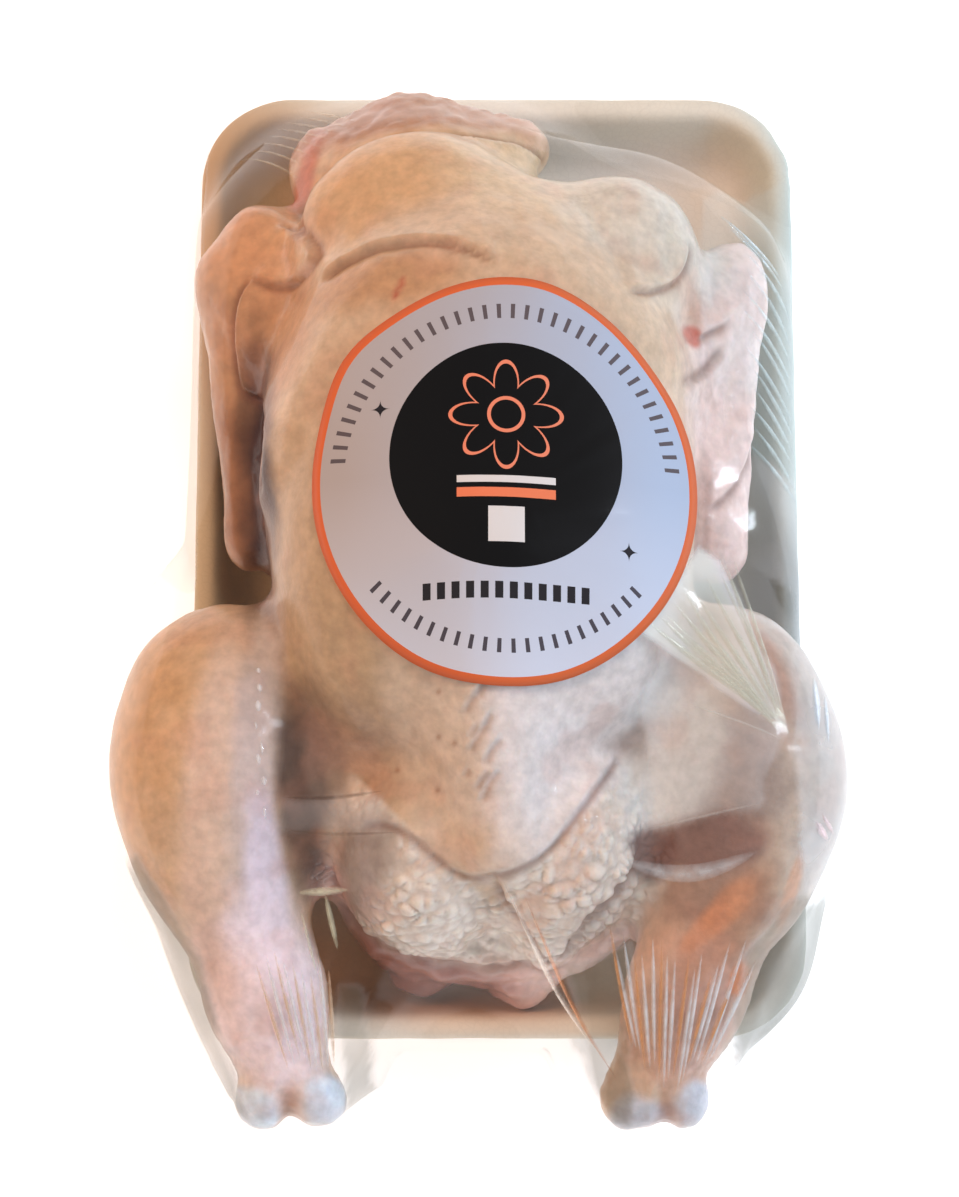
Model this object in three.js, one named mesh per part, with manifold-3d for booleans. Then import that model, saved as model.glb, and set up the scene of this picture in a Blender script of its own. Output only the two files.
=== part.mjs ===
// A whole raw chicken, breast up, on a white foam tray under tight clear film with a round sticker.
// Millimetres. X is across the bird, +Y runs towards its neck, +Z is up. The origin is the middle of
// the tray's underside, which is the flat face the pack rests on.
import * as THREE from "three";
import { MarchingCubes } from "three/addons/objects/MarchingCubes.js";
import { mergeVertices } from "three/addons/utils/BufferGeometryUtils.js";
import Module from "manifold-3d";

const wasm = await Module();
wasm.setup();

// Driving sizes of the pack.
const TRAY = { halfX: 81.5, halfY: 130, height: 28, corner: 25, floor: 4.5 };
const BIRD_MIDDLE_X = -4;
const REST_GAP = 0.4; // clear space between pieces that touch
const FILM_THICKNESS = 0.6;
const FILM_CLEARANCE = 1.7; // how far the film stands off the skin where it lies on it

// Signed distances, negative inside. Each maker returns a function of a point.
const smoothMin = (a, b, k) => {
  const h = Math.max(k - Math.abs(a - b), 0) / k;
  return Math.min(a, b) - (h * h * k) / 4;
};
const smoothMax = (a, b, k) => -smoothMin(-a, -b, k);

function blend(k, ...forms) {
  return (p) => forms.reduce((d, form) => smoothMin(d, form(p), k), 1e3);
}

// An ellipsoid with its long axes turned by yaw about Z, then by pitch about its own X, in degrees.
function egg(centre, radii, yaw = 0, pitch = 0) {
  const c = new THREE.Vector3(...centre);
  const turn = new THREE.Quaternion()
    .setFromEuler(new THREE.Euler(THREE.MathUtils.degToRad(pitch), 0, THREE.MathUtils.degToRad(yaw), "ZXY"))
    .invert();
  const q = new THREE.Vector3();
  const [rx, ry, rz] = radii;
  return (p) => {
    q.copy(p).sub(c).applyQuaternion(turn);
    const near = Math.hypot(q.x / rx, q.y / ry, q.z / rz);
    const slope = Math.hypot(q.x / (rx * rx), q.y / (ry * ry), q.z / (rz * rz));
    return slope < 1e-9 ? -Math.min(rx, ry, rz) : (near * (near - 1)) / slope;
  };
}

// A rounded bone of muscle between two ends with a radius at each.
function taper(from, to, r1, r2) {
  const a = new THREE.Vector3(...from);
  const ba = new THREE.Vector3(...to).sub(a);
  const l2 = ba.lengthSq();
  const rr = r1 - r2;
  const a2 = l2 - rr * rr;
  const il2 = 1 / l2;
  const pa = new THREE.Vector3();
  const across = new THREE.Vector3();
  return (p) => {
    pa.copy(p).sub(a);
    const y = pa.dot(ba);
    const z = y - l2;
    const x2 = across.copy(pa).multiplyScalar(l2).addScaledVector(ba, -y).lengthSq();
    const y2 = y * y * l2;
    const z2 = z * z * l2;
    const k = Math.sign(rr) * rr * rr * x2;
    if (Math.sign(z) * a2 * z2 > k) return Math.sqrt(x2 + z2) * il2 - r2;
    if (Math.sign(y) * a2 * y2 < k) return Math.sqrt(x2 + y2) * il2 - r1;
    return (Math.sqrt(x2 * a2 * il2) + y * rr) * il2 - r1;
  };
}

// The trunk: the back lies in the tray, two breast fillets meet on the keel, which runs down to a
// blunt tip over the soft belly.
const KEEL_TIP = [1, -85, 79];

function trunk() {
  const x = BIRD_MIDDLE_X;
  const back = egg([x, -6, 46], [51, 94, 42]);
  const ribs = egg([x, 22, 58], [51, 66, 44]);
  const fillets = [-1, 1].map((side) => egg([x + side * 17, 10, 72], [34, 70, 37], side * 10, -3));
  const keel = taper([x, 36, 86], [x, -18, 89], 22, 21);
  const keelEnd = taper([x, -18, 89], KEEL_TIP, 21, 11);
  return blend(15, back, ribs, ...fillets, keel, keelEnd);
}

// The neck skin is folded back over the front of the breast in two lobes with a free edge.
const FLAP = { thickness: 3.4, edgeY: 55, lobes: [[-20, 72, 66], [30, 68, 66]] };

function neckSkin(body) {
  const [left, right] = FLAP.lobes;
  const lobes = blend(12, egg(left, [33, 31, 24], 4), egg(right, [23, 24, 22], -30));
  const fold = (p) => {
    const edge = FLAP.edgeY + 8 * Math.cos((p.x + 22) / 15) - 0.012 * (p.x - 5) ** 2;
    return smoothMax(body(p) - FLAP.thickness, Math.max(edge - p.y, 48 - p.z), 4);
  };
  return blend(6, lobes, fold);
}

// The neck stump lies across the far rim to one side, in loose skin.
function neckStump() {
  return blend(
    8,
    taper([-42, 103, 41], [-23, 110, 43], 13, 13),
    taper([-23, 110, 43], [6, 108, 44], 12, 9),
    taper([-51, 108, 38], [-47, 86, 47], 5, 6),
    egg([-18, 94, 53], [30, 17, 14]),
  );
}

// A leg: the thigh beside the body, the knee near the wing, the drumstick back to the cut hock with
// the two rounded knuckles of the joint at its end.
const LEG = {
  hip: [38, -56, 40],
  knee: [66, -47, 57],
  calf: [69, -68, 57],
  shin: [55, -121, 49],
  hock: [48, -142, 47],
  knuckleRadius: 7.6,
  knuckleSpread: 6.8,
};

function leg(side, hockX, kneeIn) {
  const at = ([x, y, z], shift = 0) => [BIRD_MIDDLE_X + side * (x + shift), y, z];
  const hockShift = hockX - LEG.hock[0];
  const shin = at(LEG.shin, hockShift * 0.7);
  const hock = at(LEG.hock, hockShift);
  const thigh = egg(at(LEG.hip), [30, 38, 31], side * 22);
  const kneeCap = egg(at(LEG.knee, -kneeIn), [24, 27, 25], side * 34);
  const calf = egg(at(LEG.calf, -kneeIn / 2), [22.5, 38, 24], side * (kneeIn - 4));
  const drum = taper(at(LEG.calf), shin, 22.5, 13);
  const ankle = taper(shin, hock, 13, 10.5);
  const knuckles = [-1, 1].map((way) => {
    const [x, y, z] = hock;
    const from = [x + way * 4.5, y, z];
    const to = [x + way * LEG.knuckleSpread, y - 4.5, z - 1];
    return taper(from, to, 6.5, LEG.knuckleRadius);
  });
  const limb = blend(12, kneeCap, calf, drum, ankle, thigh);
  return blend(2.5, limb, ...knuckles);
}

// A folded wing: the upper arm runs back from the shoulder, the forearm returns along the tray's
// side to the wrist, and a web of skin joins shoulder and wrist.
const WING = {
  left: {
    shoulder: [-42, 50, 58], elbow: [-62, 0, 41], wrist: [-69, 68, 49], tip: [-47, 66, 62], far: [-62, 79, 52],
    forearm: 10.5, hand: 10,
  },
  right: {
    shoulder: [38, 54, 58], elbow: [57, -2, 42], wrist: [61, 62, 49], tip: [56, 54, 60], far: [62, 70, 50],
    forearm: 10, hand: 9,
  },
};

function wing({ shoulder, elbow, wrist, tip, far, forearm, hand }) {
  const upper = taper(shoulder, elbow, 14, 10);
  const fore = taper(elbow, wrist, forearm - 1.5, forearm + 0.5);
  const web = blend(6, taper(shoulder, wrist, 10, 9), egg(
    [(shoulder[0] + wrist[0]) / 2, 54, 57],
    [15, 20, 9],
    shoulder[0] < 0 ? 30 : -30,
  ));
  const palm = taper(wrist, far, hand + 0.5, hand + 0.5);
  const finger = taper(far, tip, hand, 4.5);
  return blend(3, blend(5, upper, web), blend(5, fore, palm), finger);
}

// The soft belly below the keel and the cut vent with the tail and loose skin under it.
function belly() {
  return blend(
    6,
    egg([-20, -84, 52], [22, 27, 31], 10),
    egg([17, -82, 54], [22, 27, 31], -12),
    taper([6, -92, 60], [14, -109, 47], 8, 6),
  );
}

function ventAndTail() {
  return blend(
    6,
    egg([-2, -96, 33], [38, 20, 15]),
    taper([12, -104, 32], [38, -95, 38], 8, 7),
    taper([-30, -92, 30], [-18, -116, 18], 11, 7),
    taper([0, -104, 26], [10, -117, 23], 10, 7),
  );
}

// The space the bird may fill: inside the tray, or above its rim.
const wallInset = (z) => {
  const rise = THREE.MathUtils.clamp((z - TRAY.floor) / (TRAY.height - TRAY.floor), 0, 1);
  return 5 + 13 * (1 - rise) ** 1.5;
};

function outlineDistance(p, inset) {
  const radius = TRAY.corner - inset * 0.6;
  const dx = Math.abs(p.x) - (TRAY.halfX - inset - radius);
  const dy = Math.abs(p.y) - (TRAY.halfY - inset - radius);
  return Math.hypot(Math.max(dx, 0), Math.max(dy, 0)) + Math.min(Math.max(dx, dy), 0) - radius;
}

function freeSpace(p) {
  const inTray = Math.max(outlineDistance(p, wallInset(p.z) + 1.5), TRAY.floor + REST_GAP + 0.1 - p.z);
  const overRim = TRAY.height + REST_GAP + 0.2 - p.z;
  return Math.min(inTray, overRim);
}

function birdParts() {
  const body = trunk();
  return [
    body,
    blend(3, belly(), ventAndTail()),
    leg(-1, 48, 0),
    leg(1, 43, 5),
    blend(4, neckSkin(body), neckStump()),
    wing(WING.left),
    wing(WING.right),
  ];
}

function chickenForm(parts) {
  const whole = blend(5, ...parts);
  return (p) => smoothMax(whole(p), freeSpace(p), 2.5);
}

// Turns a form into one closed mesh: marching cubes, then rounds of evening out the triangles while
// every vertex is brought back onto the form.
const GRID = { cells: 49, half: 158, centre: [-3, -14, 60], snap: 0.16, evenings: 8, triangles: 30000 };

function gradient(form, p, step = 0.4) {
  const q = p.clone();
  const slope = (axis) => {
    q[axis] = p[axis] + step;
    const ahead = form(q);
    q[axis] = p[axis] - step;
    const behind = form(q);
    q[axis] = p[axis];
    return (ahead - behind) / (2 * step);
  };
  return new THREE.Vector3(slope("x"), slope("y"), slope("z"));
}

function ontoForm(form, p, level = 0) {
  for (let i = 0; i < 3; i++) {
    const g = gradient(form, p);
    const steep = Math.max(g.lengthSq(), 0.2);
    p.addScaledVector(g, -(form(p) - level) / steep);
  }
  return p;
}

function neighboursOf(index, count) {
  const near = Array.from({ length: count }, () => new Set());
  for (let i = 0; i < index.length; i += 3) {
    const face = [index[i], index[i + 1], index[i + 2]];
    face.forEach((v, k) => near[v].add(face[(k + 1) % 3]).add(face[(k + 2) % 3]));
  }
  return near.map((set) => [...set]);
}

// A speck of space shut in between two forms would be a second shell, so only the largest one stays.
function keepLargestShell(mesh, near) {
  const shellOf = new Int32Array(near.length).fill(-1);
  const sizes = [];
  near.forEach((_, first) => {
    if (shellOf[first] >= 0) return;
    const open = [first];
    shellOf[first] = sizes.length;
    let size = 0;
    while (open.length) {
      const v = open.pop();
      size++;
      for (const n of near[v]) {
        if (shellOf[n] < 0) {
          shellOf[n] = sizes.length;
          open.push(n);
        }
      }
    }
    sizes.push(size);
  });
  const largest = sizes.indexOf(Math.max(...sizes));
  const faces = [...mesh.index.array];
  mesh.setIndex(faces.filter((_, i) => shellOf[faces[i - (i % 3)]] === largest));
}

function bareGeometry(geometry) {
  geometry.deleteAttribute("normal");
  geometry.deleteAttribute("uv");
  return mergeVertices(geometry, 1e-3);
}

function solidMesh(form) {
  const { cells, half, centre, snap } = GRID;
  const cubes = new MarchingCubes(cells, new THREE.MeshStandardMaterial(), false, false, GRID.triangles);
  cubes.isolation = 0;
  const middle = new THREE.Vector3(...centre);
  const p = new THREE.Vector3();
  const pitch = (2 * half) / cells;
  for (let z = 0, i = 0; z < cells; z++) {
    for (let y = 0; y < cells; y++) {
      for (let x = 0; x < cells; x++, i++) {
        p.set(x, y, z).multiplyScalar(pitch).addScalar(-half).add(middle);
        const d = -form(p);
        cubes.field[i] = Math.abs(d) < snap * pitch ? snap * pitch * (d < 0 ? -1 : 1) : d;
      }
    }
  }
  cubes.update();
  const raw = new THREE.BufferGeometry();
  const used = cubes.positionArray.slice(0, cubes.count * 3);
  raw.setAttribute("position", new THREE.BufferAttribute(used, 3));
  const mesh = mergeVertices(raw, 1e-3);
  mesh.scale(half, half, half).translate(...centre);
  const position = mesh.getAttribute("position");
  const near = neighboursOf(mesh.index.array, position.count);
  keepLargestShell(mesh, near);
  for (let round = 0; round < GRID.evenings; round++) {
    for (let v = 0; v < position.count; v++) {
      const mean = new THREE.Vector3();
      near[v].forEach((n) => mean.add(p.fromBufferAttribute(position, n)));
      mean.divideScalar(near[v].length);
      p.fromBufferAttribute(position, v).lerp(mean, 0.6);
      ontoForm(form, p);
      position.setXYZ(v, p.x, p.y, p.z);
    }
  }
  return mesh;
}

// Solids that are cut or joined pass through manifold-3d and come back as geometry.
function toSolid(geometry) {
  const bare = bareGeometry(geometry);
  return new wasm.Manifold(
    new wasm.Mesh({
      numProp: 3,
      vertProperties: bare.getAttribute("position").array,
      triVerts: new Uint32Array(bare.index.array),
    }),
  );
}

function toGeometry(solid) {
  const { vertProperties, triVerts } = solid.getMesh();
  const geometry = new THREE.BufferGeometry();
  geometry.setAttribute("position", new THREE.BufferAttribute(vertProperties, 3));
  geometry.setIndex(new THREE.BufferAttribute(triVerts, 1));
  geometry.computeVertexNormals();
  return geometry;
}

// A block whose rounded-rectangle outline is drawn in or out at each height of its profile.
const CORNER_STEPS = 4;

function roundedOutline(radius) {
  const { halfX, halfY } = TRAY;
  const shape = new THREE.Shape();
  const corners = [[1, 1, 0], [-1, 1, 90], [-1, -1, 180], [1, -1, 270]];
  corners.forEach(([sx, sy, start]) => {
    const from = THREE.MathUtils.degToRad(start);
    shape.absarc(sx * (halfX - radius), sy * (halfY - radius), radius, from, from + Math.PI / 2, false);
  });
  shape.closePath();
  return shape;
}

function trayBlock(profile) {
  const geometry = new THREE.ExtrudeGeometry(roundedOutline(TRAY.corner), {
    depth: profile.length - 1,
    steps: profile.length - 1,
    bevelEnabled: false,
    curveSegments: CORNER_STEPS,
  });
  const position = geometry.getAttribute("position");
  for (let i = 0; i < position.count; i++) {
    const [height, inset] = profile[Math.round(position.getZ(i))];
    position.setXYZ(
      i,
      position.getX(i) * (1 - inset / TRAY.halfX),
      position.getY(i) * (1 - inset / TRAY.halfY),
      height,
    );
  }
  return toSolid(geometry);
}

// The foam tray: a flat floor, walls that lean out, and a rolled rim.
function foamTray() {
  const rim = TRAY.height;
  const outer = trayBlock([
    [0, 19], [0.9, 16], [4, 12.6], [14, 7.6], [rim - 6.5, 4.6], [rim - 4.6, 0.6], [rim - 0.9, 0.6], [rim, 2.2],
  ]);
  const heights = [TRAY.floor, TRAY.floor + 1, 9.5, 17, rim - 2.5];
  const leaning = heights.map((z, i) => [z, wallInset(z) + (i === 0 ? 4 : 0)]);
  const inner = trayBlock([...leaning, [rim - 0.8, 4.4], [rim + 1, 3]]);
  return toGeometry(outer.subtract(inner));
}

// The clear film is stretched over the bird and tucked in under the lean of the tray's walls. It
// follows a form that fills the valleys between the pieces, and its rings and spokes are seen from a
// point inside the bird.
const FILM = {
  spokes: 56, rings: 18, profileSteps: 120, valleys: 44, rim: 28, settles: 30, eye: [-4, -14, 58],
  tuckInset: 11.2, tuckHeight: 2,
};
// Degrees round the eye where spokes gather, with how strongly: the two hocks and the far corners.
const GATHERS = [[-109, 18], [-72.5, 18], [56, 16], [117, 12]];

function spokeAngle(i) {
  const turn = (i / FILM.spokes) * 360;
  const gather = GATHERS.reduce((sum, [way, strength]) => {
    const off = THREE.MathUtils.euclideanModulo(turn - way + 180, 360) - 180;
    return sum - strength * Math.sin(THREE.MathUtils.degToRad(off)) * Math.exp(-((off / 40) ** 2));
  }, 0);
  return THREE.MathUtils.degToRad(turn + gather);
}

const outerInset = (z) => {
  if (z > TRAY.height - 6.5) return 0.3;
  const rise = THREE.MathUtils.clamp(z / (TRAY.height - 6.5), 0, 1);
  return 4.6 + 11 * (1 - rise) ** 1.6;
};

const trayFilled = (p) => Math.max(outlineDistance(p, outerInset(p.z)), p.z - TRAY.height);

// The tuck lies on the tray's lower wall, straight below the eye's view along an angle.
function tuckPoint(eye, angle) {
  const way = new THREE.Vector3(Math.cos(angle), Math.sin(angle), 0);
  const p = new THREE.Vector3();
  let reach = 0;
  for (let step = 128; step > 0.01; step /= 2) {
    p.copy(eye).addScaledVector(way, reach + step).setZ(FILM.tuckHeight);
    if (outlineDistance(p, FILM.tuckInset) < 0) reach += step;
  }
  return p.copy(eye).addScaledVector(way, reach).setZ(FILM.tuckHeight);
}

// Where a facet is tested against a form, as shares of its three corners.
const FACET_SPOTS = [
  [0.34, 0.33, 0.33], [0.45, 0.45, 0.1], [0.1, 0.45, 0.45], [0.45, 0.1, 0.45],
  [0.8, 0.2, 0], [0.2, 0.8, 0], [0, 0.8, 0.2], [0, 0.2, 0.8], [0.8, 0, 0.2], [0.2, 0, 0.8],
  [0.5, 0.5, 0], [0, 0.5, 0.5], [0.5, 0, 0.5],
];

function filmSheet(parts, bird) {
  const { spokes, rings, profileSteps, valleys, rim, settles } = FILM;
  const eye = new THREE.Vector3(...FILM.eye);
  const gap = FILM_CLEARANCE + FILM_THICKNESS;
  const draped = blend(valleys, ...parts);
  const standOff = (z) => 0.4 + 40 * THREE.MathUtils.clamp((100 - z) / 34, 0, 1) ** 1.5; // flat on the breast
  const tight = (p) => smoothMax(smoothMin(draped(p), trayFilled(p), rim), bird(p) - standOff(p.z), 3) - gap;
  const keepOut = (p) => Math.min(bird(p), trayFilled(p)) - gap;
  const p = new THREE.Vector3();
  const seenAlong = (way) => {
    let reach = 230;
    for (let i = 0; i < 60; i++) {
      const d = tight(p.copy(eye).addScaledVector(way, reach));
      if (Math.abs(d) < 0.02) break;
      reach -= d * 0.8;
    }
    return eye.clone().addScaledVector(way, reach);
  };
  const grid = Array.from({ length: (rings + 1) * spokes });
  for (let s = 0; s < spokes; s++) {
    const angle = spokeAngle(s);
    const tuck = tuckPoint(eye, angle);
    const flat = Math.hypot(tuck.x - eye.x, tuck.y - eye.y);
    const lowest = Math.PI / 2 + Math.atan2(eye.z - tuck.z, flat);
    const profile = [];
    for (let i = 0; i <= profileSteps; i++) {
      const lean = (i / profileSteps) * lowest;
      const way = new THREE.Vector3(Math.sin(lean) * Math.cos(angle), Math.sin(lean) * Math.sin(angle), Math.cos(lean));
      profile.push(i === profileSteps ? tuck : seenAlong(way));
    }
    const lengths = [0];
    for (let i = 1; i <= profileSteps; i++) lengths.push(lengths[i - 1] + profile[i].distanceTo(profile[i - 1]));
    for (let r = 0, i = 0; r <= rings; r++) {
      const want = (r / rings) * lengths[profileSteps];
      while (i < profileSteps - 1 && lengths[i + 1] < want) i++;
      const share = (want - lengths[i]) / (lengths[i + 1] - lengths[i]);
      grid[r * spokes + s] = profile[i].clone().lerp(profile[i + 1], Math.min(share, 1));
    }
  }
  const at = (r, s) => grid[r * spokes + ((s + spokes) % spokes)];
  const q = new THREE.Vector3();
  const clear = (corners, spot) => {
    q.set(0, 0, 0);
    corners.forEach((corner, i) => q.addScaledVector(corner, spot[i]));
    const lack = -keepOut(q);
    if (lack <= 0) return;
    const share = spot.reduce((sum, w) => sum + w * w, 0);
    const outwards = q.clone().sub(eye).normalize();
    const away = gradient(keepOut, q).normalize().addScaledVector(outwards, 1).normalize();
    corners.forEach((corner, i) => {
      if (corner.z > FILM.tuckHeight + 0.01) corner.addScaledVector(away, (Math.min(lack, 0.6) * spot[i]) / share);
    });
  };
  for (let round = 0; round < settles; round++) {
    for (let r = 0; r < rings; r++) {
      for (let s = 0; s < spokes; s++) {
        FACET_SPOTS.forEach((spot) => {
          clear([at(r, s), at(r, s + 1), at(r + 1, s)], spot);
          clear([at(r + 1, s + 1), at(r + 1, s), at(r, s + 1)], spot);
        });
      }
    }
    const crown = at(0, 0).clone();
    for (let s = 0; s < spokes; s++) if (at(0, s).z > crown.z) crown.copy(at(0, s));
    for (let s = 0; s < spokes; s++) at(0, s).copy(crown);
  }
  return grid;
}

// A closed sheet of rings and spokes: the points as given are its outer face, and its inner face
// lies one thickness below. The lathe gives the faces, and the grid its places.
function sheetGeometry(grid, rings, spokes, thickness) {
  const outline = [];
  for (let r = 0; r <= rings; r++) outline.push(new THREE.Vector2(r, 0));
  for (let r = rings; r >= 0; r--) outline.push(new THREE.Vector2(r, 1));
  const lathe = new THREE.LatheGeometry(outline, spokes);
  const at = (r, s) => grid[r * spokes + ((s + spokes) % spokes)];
  const normalAt = (r, s) => {
    if (r === 0) {
      const sum = new THREE.Vector3();
      for (let k = 0; k < spokes; k++) sum.add(normalAt(1, k));
      return sum.normalize();
    }
    const along = at(Math.min(r + 1, rings), s).clone().sub(at(r - 1, s));
    const round = at(r, s + 1).clone().sub(at(r, s - 1));
    return along.cross(round).normalize();
  };
  const position = lathe.getAttribute("position");
  const rows = outline.length;
  for (let i = 0; i < position.count; i++) {
    const s = Math.floor(i / rows);
    const row = i % rows;
    const outside = row > rings;
    const r = outside ? 2 * rings + 1 - row : row;
    const p = at(r, s).clone();
    if (!outside) p.addScaledVector(normalAt(r, s), -thickness);
    position.setXYZ(i, p.x, p.y, p.z);
  }
  // Both faces of the sheet take the same diagonal across each four-sided cell.
  const { index } = lathe;
  for (let i = 0; i < index.count; i += 6) {
    const [a, b, d, c] = [index.getX(i), index.getX(i + 1), index.getX(i + 2), index.getX(i + 3)];
    if (a % rows > rings) [a, b, c, a, c, d].forEach((v, k) => index.setX(i + k, v));
  }
  return toSolid(lathe);
}

// The round sticker lies on the film over the breast. It is a little wider where the film's pull has
// lifted its far left edge.
const STICKER = { centre: [1.9, 0.7], halfX: 47.8, halfY: 52.2, thickness: 0.5, gap: 0.8, rings: 5, spokes: 30 };

function stickerReach(angle) {
  const lobe = (at, width) => Math.exp(-(((THREE.MathUtils.radToDeg(angle) - at) / width) ** 2));
  return 1 + 0.04 * lobe(143, 14) - 0.025 * lobe(48, 24);
}

function stickerSheet(filmGeometry) {
  const { centre, halfX, halfY, thickness, gap, rings, spokes } = STICKER;
  const surface = new THREE.Mesh(filmGeometry, new THREE.MeshBasicMaterial());
  const ray = new THREE.Raycaster();
  const down = new THREE.Vector3(0, 0, -1);
  const heightAt = (x, y) => {
    ray.set(new THREE.Vector3(x, y, 300), down);
    return ray.intersectObject(surface)[0].point.z;
  };
  const grid = [];
  for (let r = 0; r <= rings; r++) {
    for (let s = 0; s < spokes; s++) {
      const a = (s / spokes) * Math.PI * 2;
      const reach = (r / rings) * stickerReach(a);
      const x = centre[0] + halfX * reach * Math.cos(a);
      const y = centre[1] + halfY * reach * Math.sin(a);
      const span = 3;
      const slopeX = (heightAt(x + span, y) - heightAt(x - span, y)) / (2 * span);
      const slopeY = (heightAt(x, y + span) - heightAt(x, y - span)) / (2 * span);
      const normal = new THREE.Vector3(-slopeX, -slopeY, 1).normalize();
      grid.push(new THREE.Vector3(x, y, heightAt(x, y)).addScaledVector(normal, gap + thickness));
    }
  }
  const at = (r, s) => grid[r * spokes + (s % spokes)];
  const q = new THREE.Vector3();
  for (let round = 0; round < 3; round++) {
    for (let r = 0; r < rings; r++) {
      for (let s = 0; s < spokes; s++) {
        const facets = [[at(r, s), at(r, s + 1), at(r + 1, s)], [at(r + 1, s + 1), at(r + 1, s), at(r, s + 1)]];
        facets.forEach((corners) => FACET_SPOTS.forEach((spot) => {
          q.set(0, 0, 0);
          corners.forEach((p, i) => q.addScaledVector(p, spot[i]));
          const lack = heightAt(q.x, q.y) + (gap + thickness) * 1.02 - q.z;
          if (lack > 0) corners.forEach((p, i) => { p.z += lack * spot[i]; });
        }));
      }
    }
    const top = Math.max(...grid.slice(0, spokes).map((p) => p.z));
    for (let s = 0; s < spokes; s++) at(0, s).z = top;
  }
  return grid;
}

const skin = new THREE.MeshStandardMaterial({ color: 0xd9b596, roughness: 0.45, metalness: 0 });
const foam = new THREE.MeshStandardMaterial({ color: 0xe9e8dc, roughness: 0.7, metalness: 0 });
const film = new THREE.MeshStandardMaterial({
  color: 0xeef2f2, roughness: 0.12, metalness: 0, transparent: true, opacity: 0.2,
});
const gloss = new THREE.MeshStandardMaterial({ color: 0xdcd9e6, roughness: 0.25, metalness: 0 });

function addPiece(group, name, geometry, material) {
  const mesh = new THREE.Mesh(geometry, material);
  mesh.name = name;
  group.add(mesh);
  return mesh;
}

const parts = birdParts();
const chicken = chickenForm(parts);
const pack = new THREE.Group();
addPiece(pack, "chicken", solidMesh(chicken), skin);
addPiece(pack, "foam_tray", foamTray(), foam);
const wrap = sheetGeometry(filmSheet(parts, chicken), FILM.rings, FILM.spokes, FILM_THICKNESS);
addPiece(pack, "stretch_film", toGeometry(wrap), film);
const label = stickerSheet(toGeometry(wrap));
addPiece(pack, "sticker", toGeometry(sheetGeometry(label, STICKER.rings, STICKER.spokes, STICKER.thickness)), gloss);

export default pack;
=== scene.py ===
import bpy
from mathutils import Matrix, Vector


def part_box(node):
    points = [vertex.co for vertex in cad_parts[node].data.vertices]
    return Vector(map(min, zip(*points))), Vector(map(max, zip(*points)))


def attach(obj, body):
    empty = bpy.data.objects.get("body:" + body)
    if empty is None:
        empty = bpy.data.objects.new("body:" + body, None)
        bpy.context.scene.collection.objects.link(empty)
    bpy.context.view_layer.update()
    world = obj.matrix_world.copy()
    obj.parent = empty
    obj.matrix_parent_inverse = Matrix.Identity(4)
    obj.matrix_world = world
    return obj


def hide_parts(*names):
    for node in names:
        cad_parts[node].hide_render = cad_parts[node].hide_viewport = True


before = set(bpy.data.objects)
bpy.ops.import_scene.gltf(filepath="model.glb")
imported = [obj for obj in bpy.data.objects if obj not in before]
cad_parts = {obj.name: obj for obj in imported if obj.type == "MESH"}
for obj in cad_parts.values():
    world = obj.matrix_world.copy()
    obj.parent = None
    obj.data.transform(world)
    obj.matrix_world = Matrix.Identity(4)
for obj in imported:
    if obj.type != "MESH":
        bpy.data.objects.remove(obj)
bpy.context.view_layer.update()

import math

import bmesh
import bpy
import numpy as np
from mathutils import Vector, noise
from mathutils.bvhtree import BVHTree

# The raw chicken
# A whole dressed bird on its back, breast up, wings folded in and hocks past the tray's end.
# Soft moist skin over flesh and fat: one closed body, grown from the imported solid and worked finer.

# Lengths are in millimetres, and MM turns them to metres where Blender takes them
MM = 0.001
WELD = 0.001
SKIN_VOXEL = 1.45
SKIN_EVENING = 10


def merged(node_name):
    """A copy of a CAD node's mesh with its loose corners merged."""
    bm = bmesh.new()
    bm.from_mesh(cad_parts[node_name].data)
    bmesh.ops.remove_doubles(bm, verts=bm.verts, dist=WELD * MM)
    return bm


def piece_from(bm, piece_name):
    """A piece in the scene that holds the mesh of bm, which is used up."""
    mesh = bpy.data.meshes.new(piece_name)
    bm.to_mesh(mesh)
    bm.free()
    piece = bpy.data.objects.new(piece_name, mesh)
    bpy.context.scene.collection.objects.link(piece)
    return piece


def modify(piece, kind, **settings):
    """Adds one modifier with its settings."""
    modifier = piece.modifiers.new(kind.title(), kind)
    for key, value in settings.items():
        setattr(modifier, key, value)


def settle(piece):
    """Applies the piece's modifiers to its mesh."""
    shaped = bpy.data.meshes.new_from_object(piece.evaluated_get(bpy.context.evaluated_depsgraph_get()))
    piece.modifiers.clear()
    piece.data = shaped


def points_of(piece):
    """The piece's vertices in mm, and the way each one faces."""
    count = len(piece.data.vertices)
    places, facing = np.empty(count * 3), np.empty(count * 3)
    piece.data.vertices.foreach_get("co", places)
    piece.data.vertex_normals.foreach_get("vector", facing)
    return places.reshape(-1, 3) / MM, facing.reshape(-1, 3)


def place_points(piece, places):
    """Moves the piece's vertices to places in mm."""
    piece.data.vertices.foreach_set("co", (places * MM).ravel())
    piece.data.update()


def grain(places, size, shift=0.0):
    """Smooth noise from about -1 to 1 with features of that size in mm, one size or one for each axis."""
    return np.array([noise.noise(Vector(p)) for p in places / size + shift])


def ramp(values, low, high):
    """0 below low, 1 above high and a smooth rise between."""
    t = np.clip((values - low) / (high - low), 0, 1)
    return t * t * (3 - 2 * t)


def patch(places, centre, reach, turn=0.0, soft=0.35, ragged=0.0):
    """1 inside an ellipsoid about centre, fading to 0 around its reach; turn is in degrees about Z."""
    off = places - np.array(centre)
    c, s = math.cos(math.radians(turn)), math.sin(math.radians(turn))
    along = off[:, 0] * c + off[:, 1] * s
    across = off[:, 1] * c - off[:, 0] * s
    distance = np.linalg.norm(np.stack([along, across, off[:, 2]], 1) / np.array(reach), axis=1)
    return 1 - ramp(distance + ragged, 1 - soft, 1 + soft)


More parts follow.
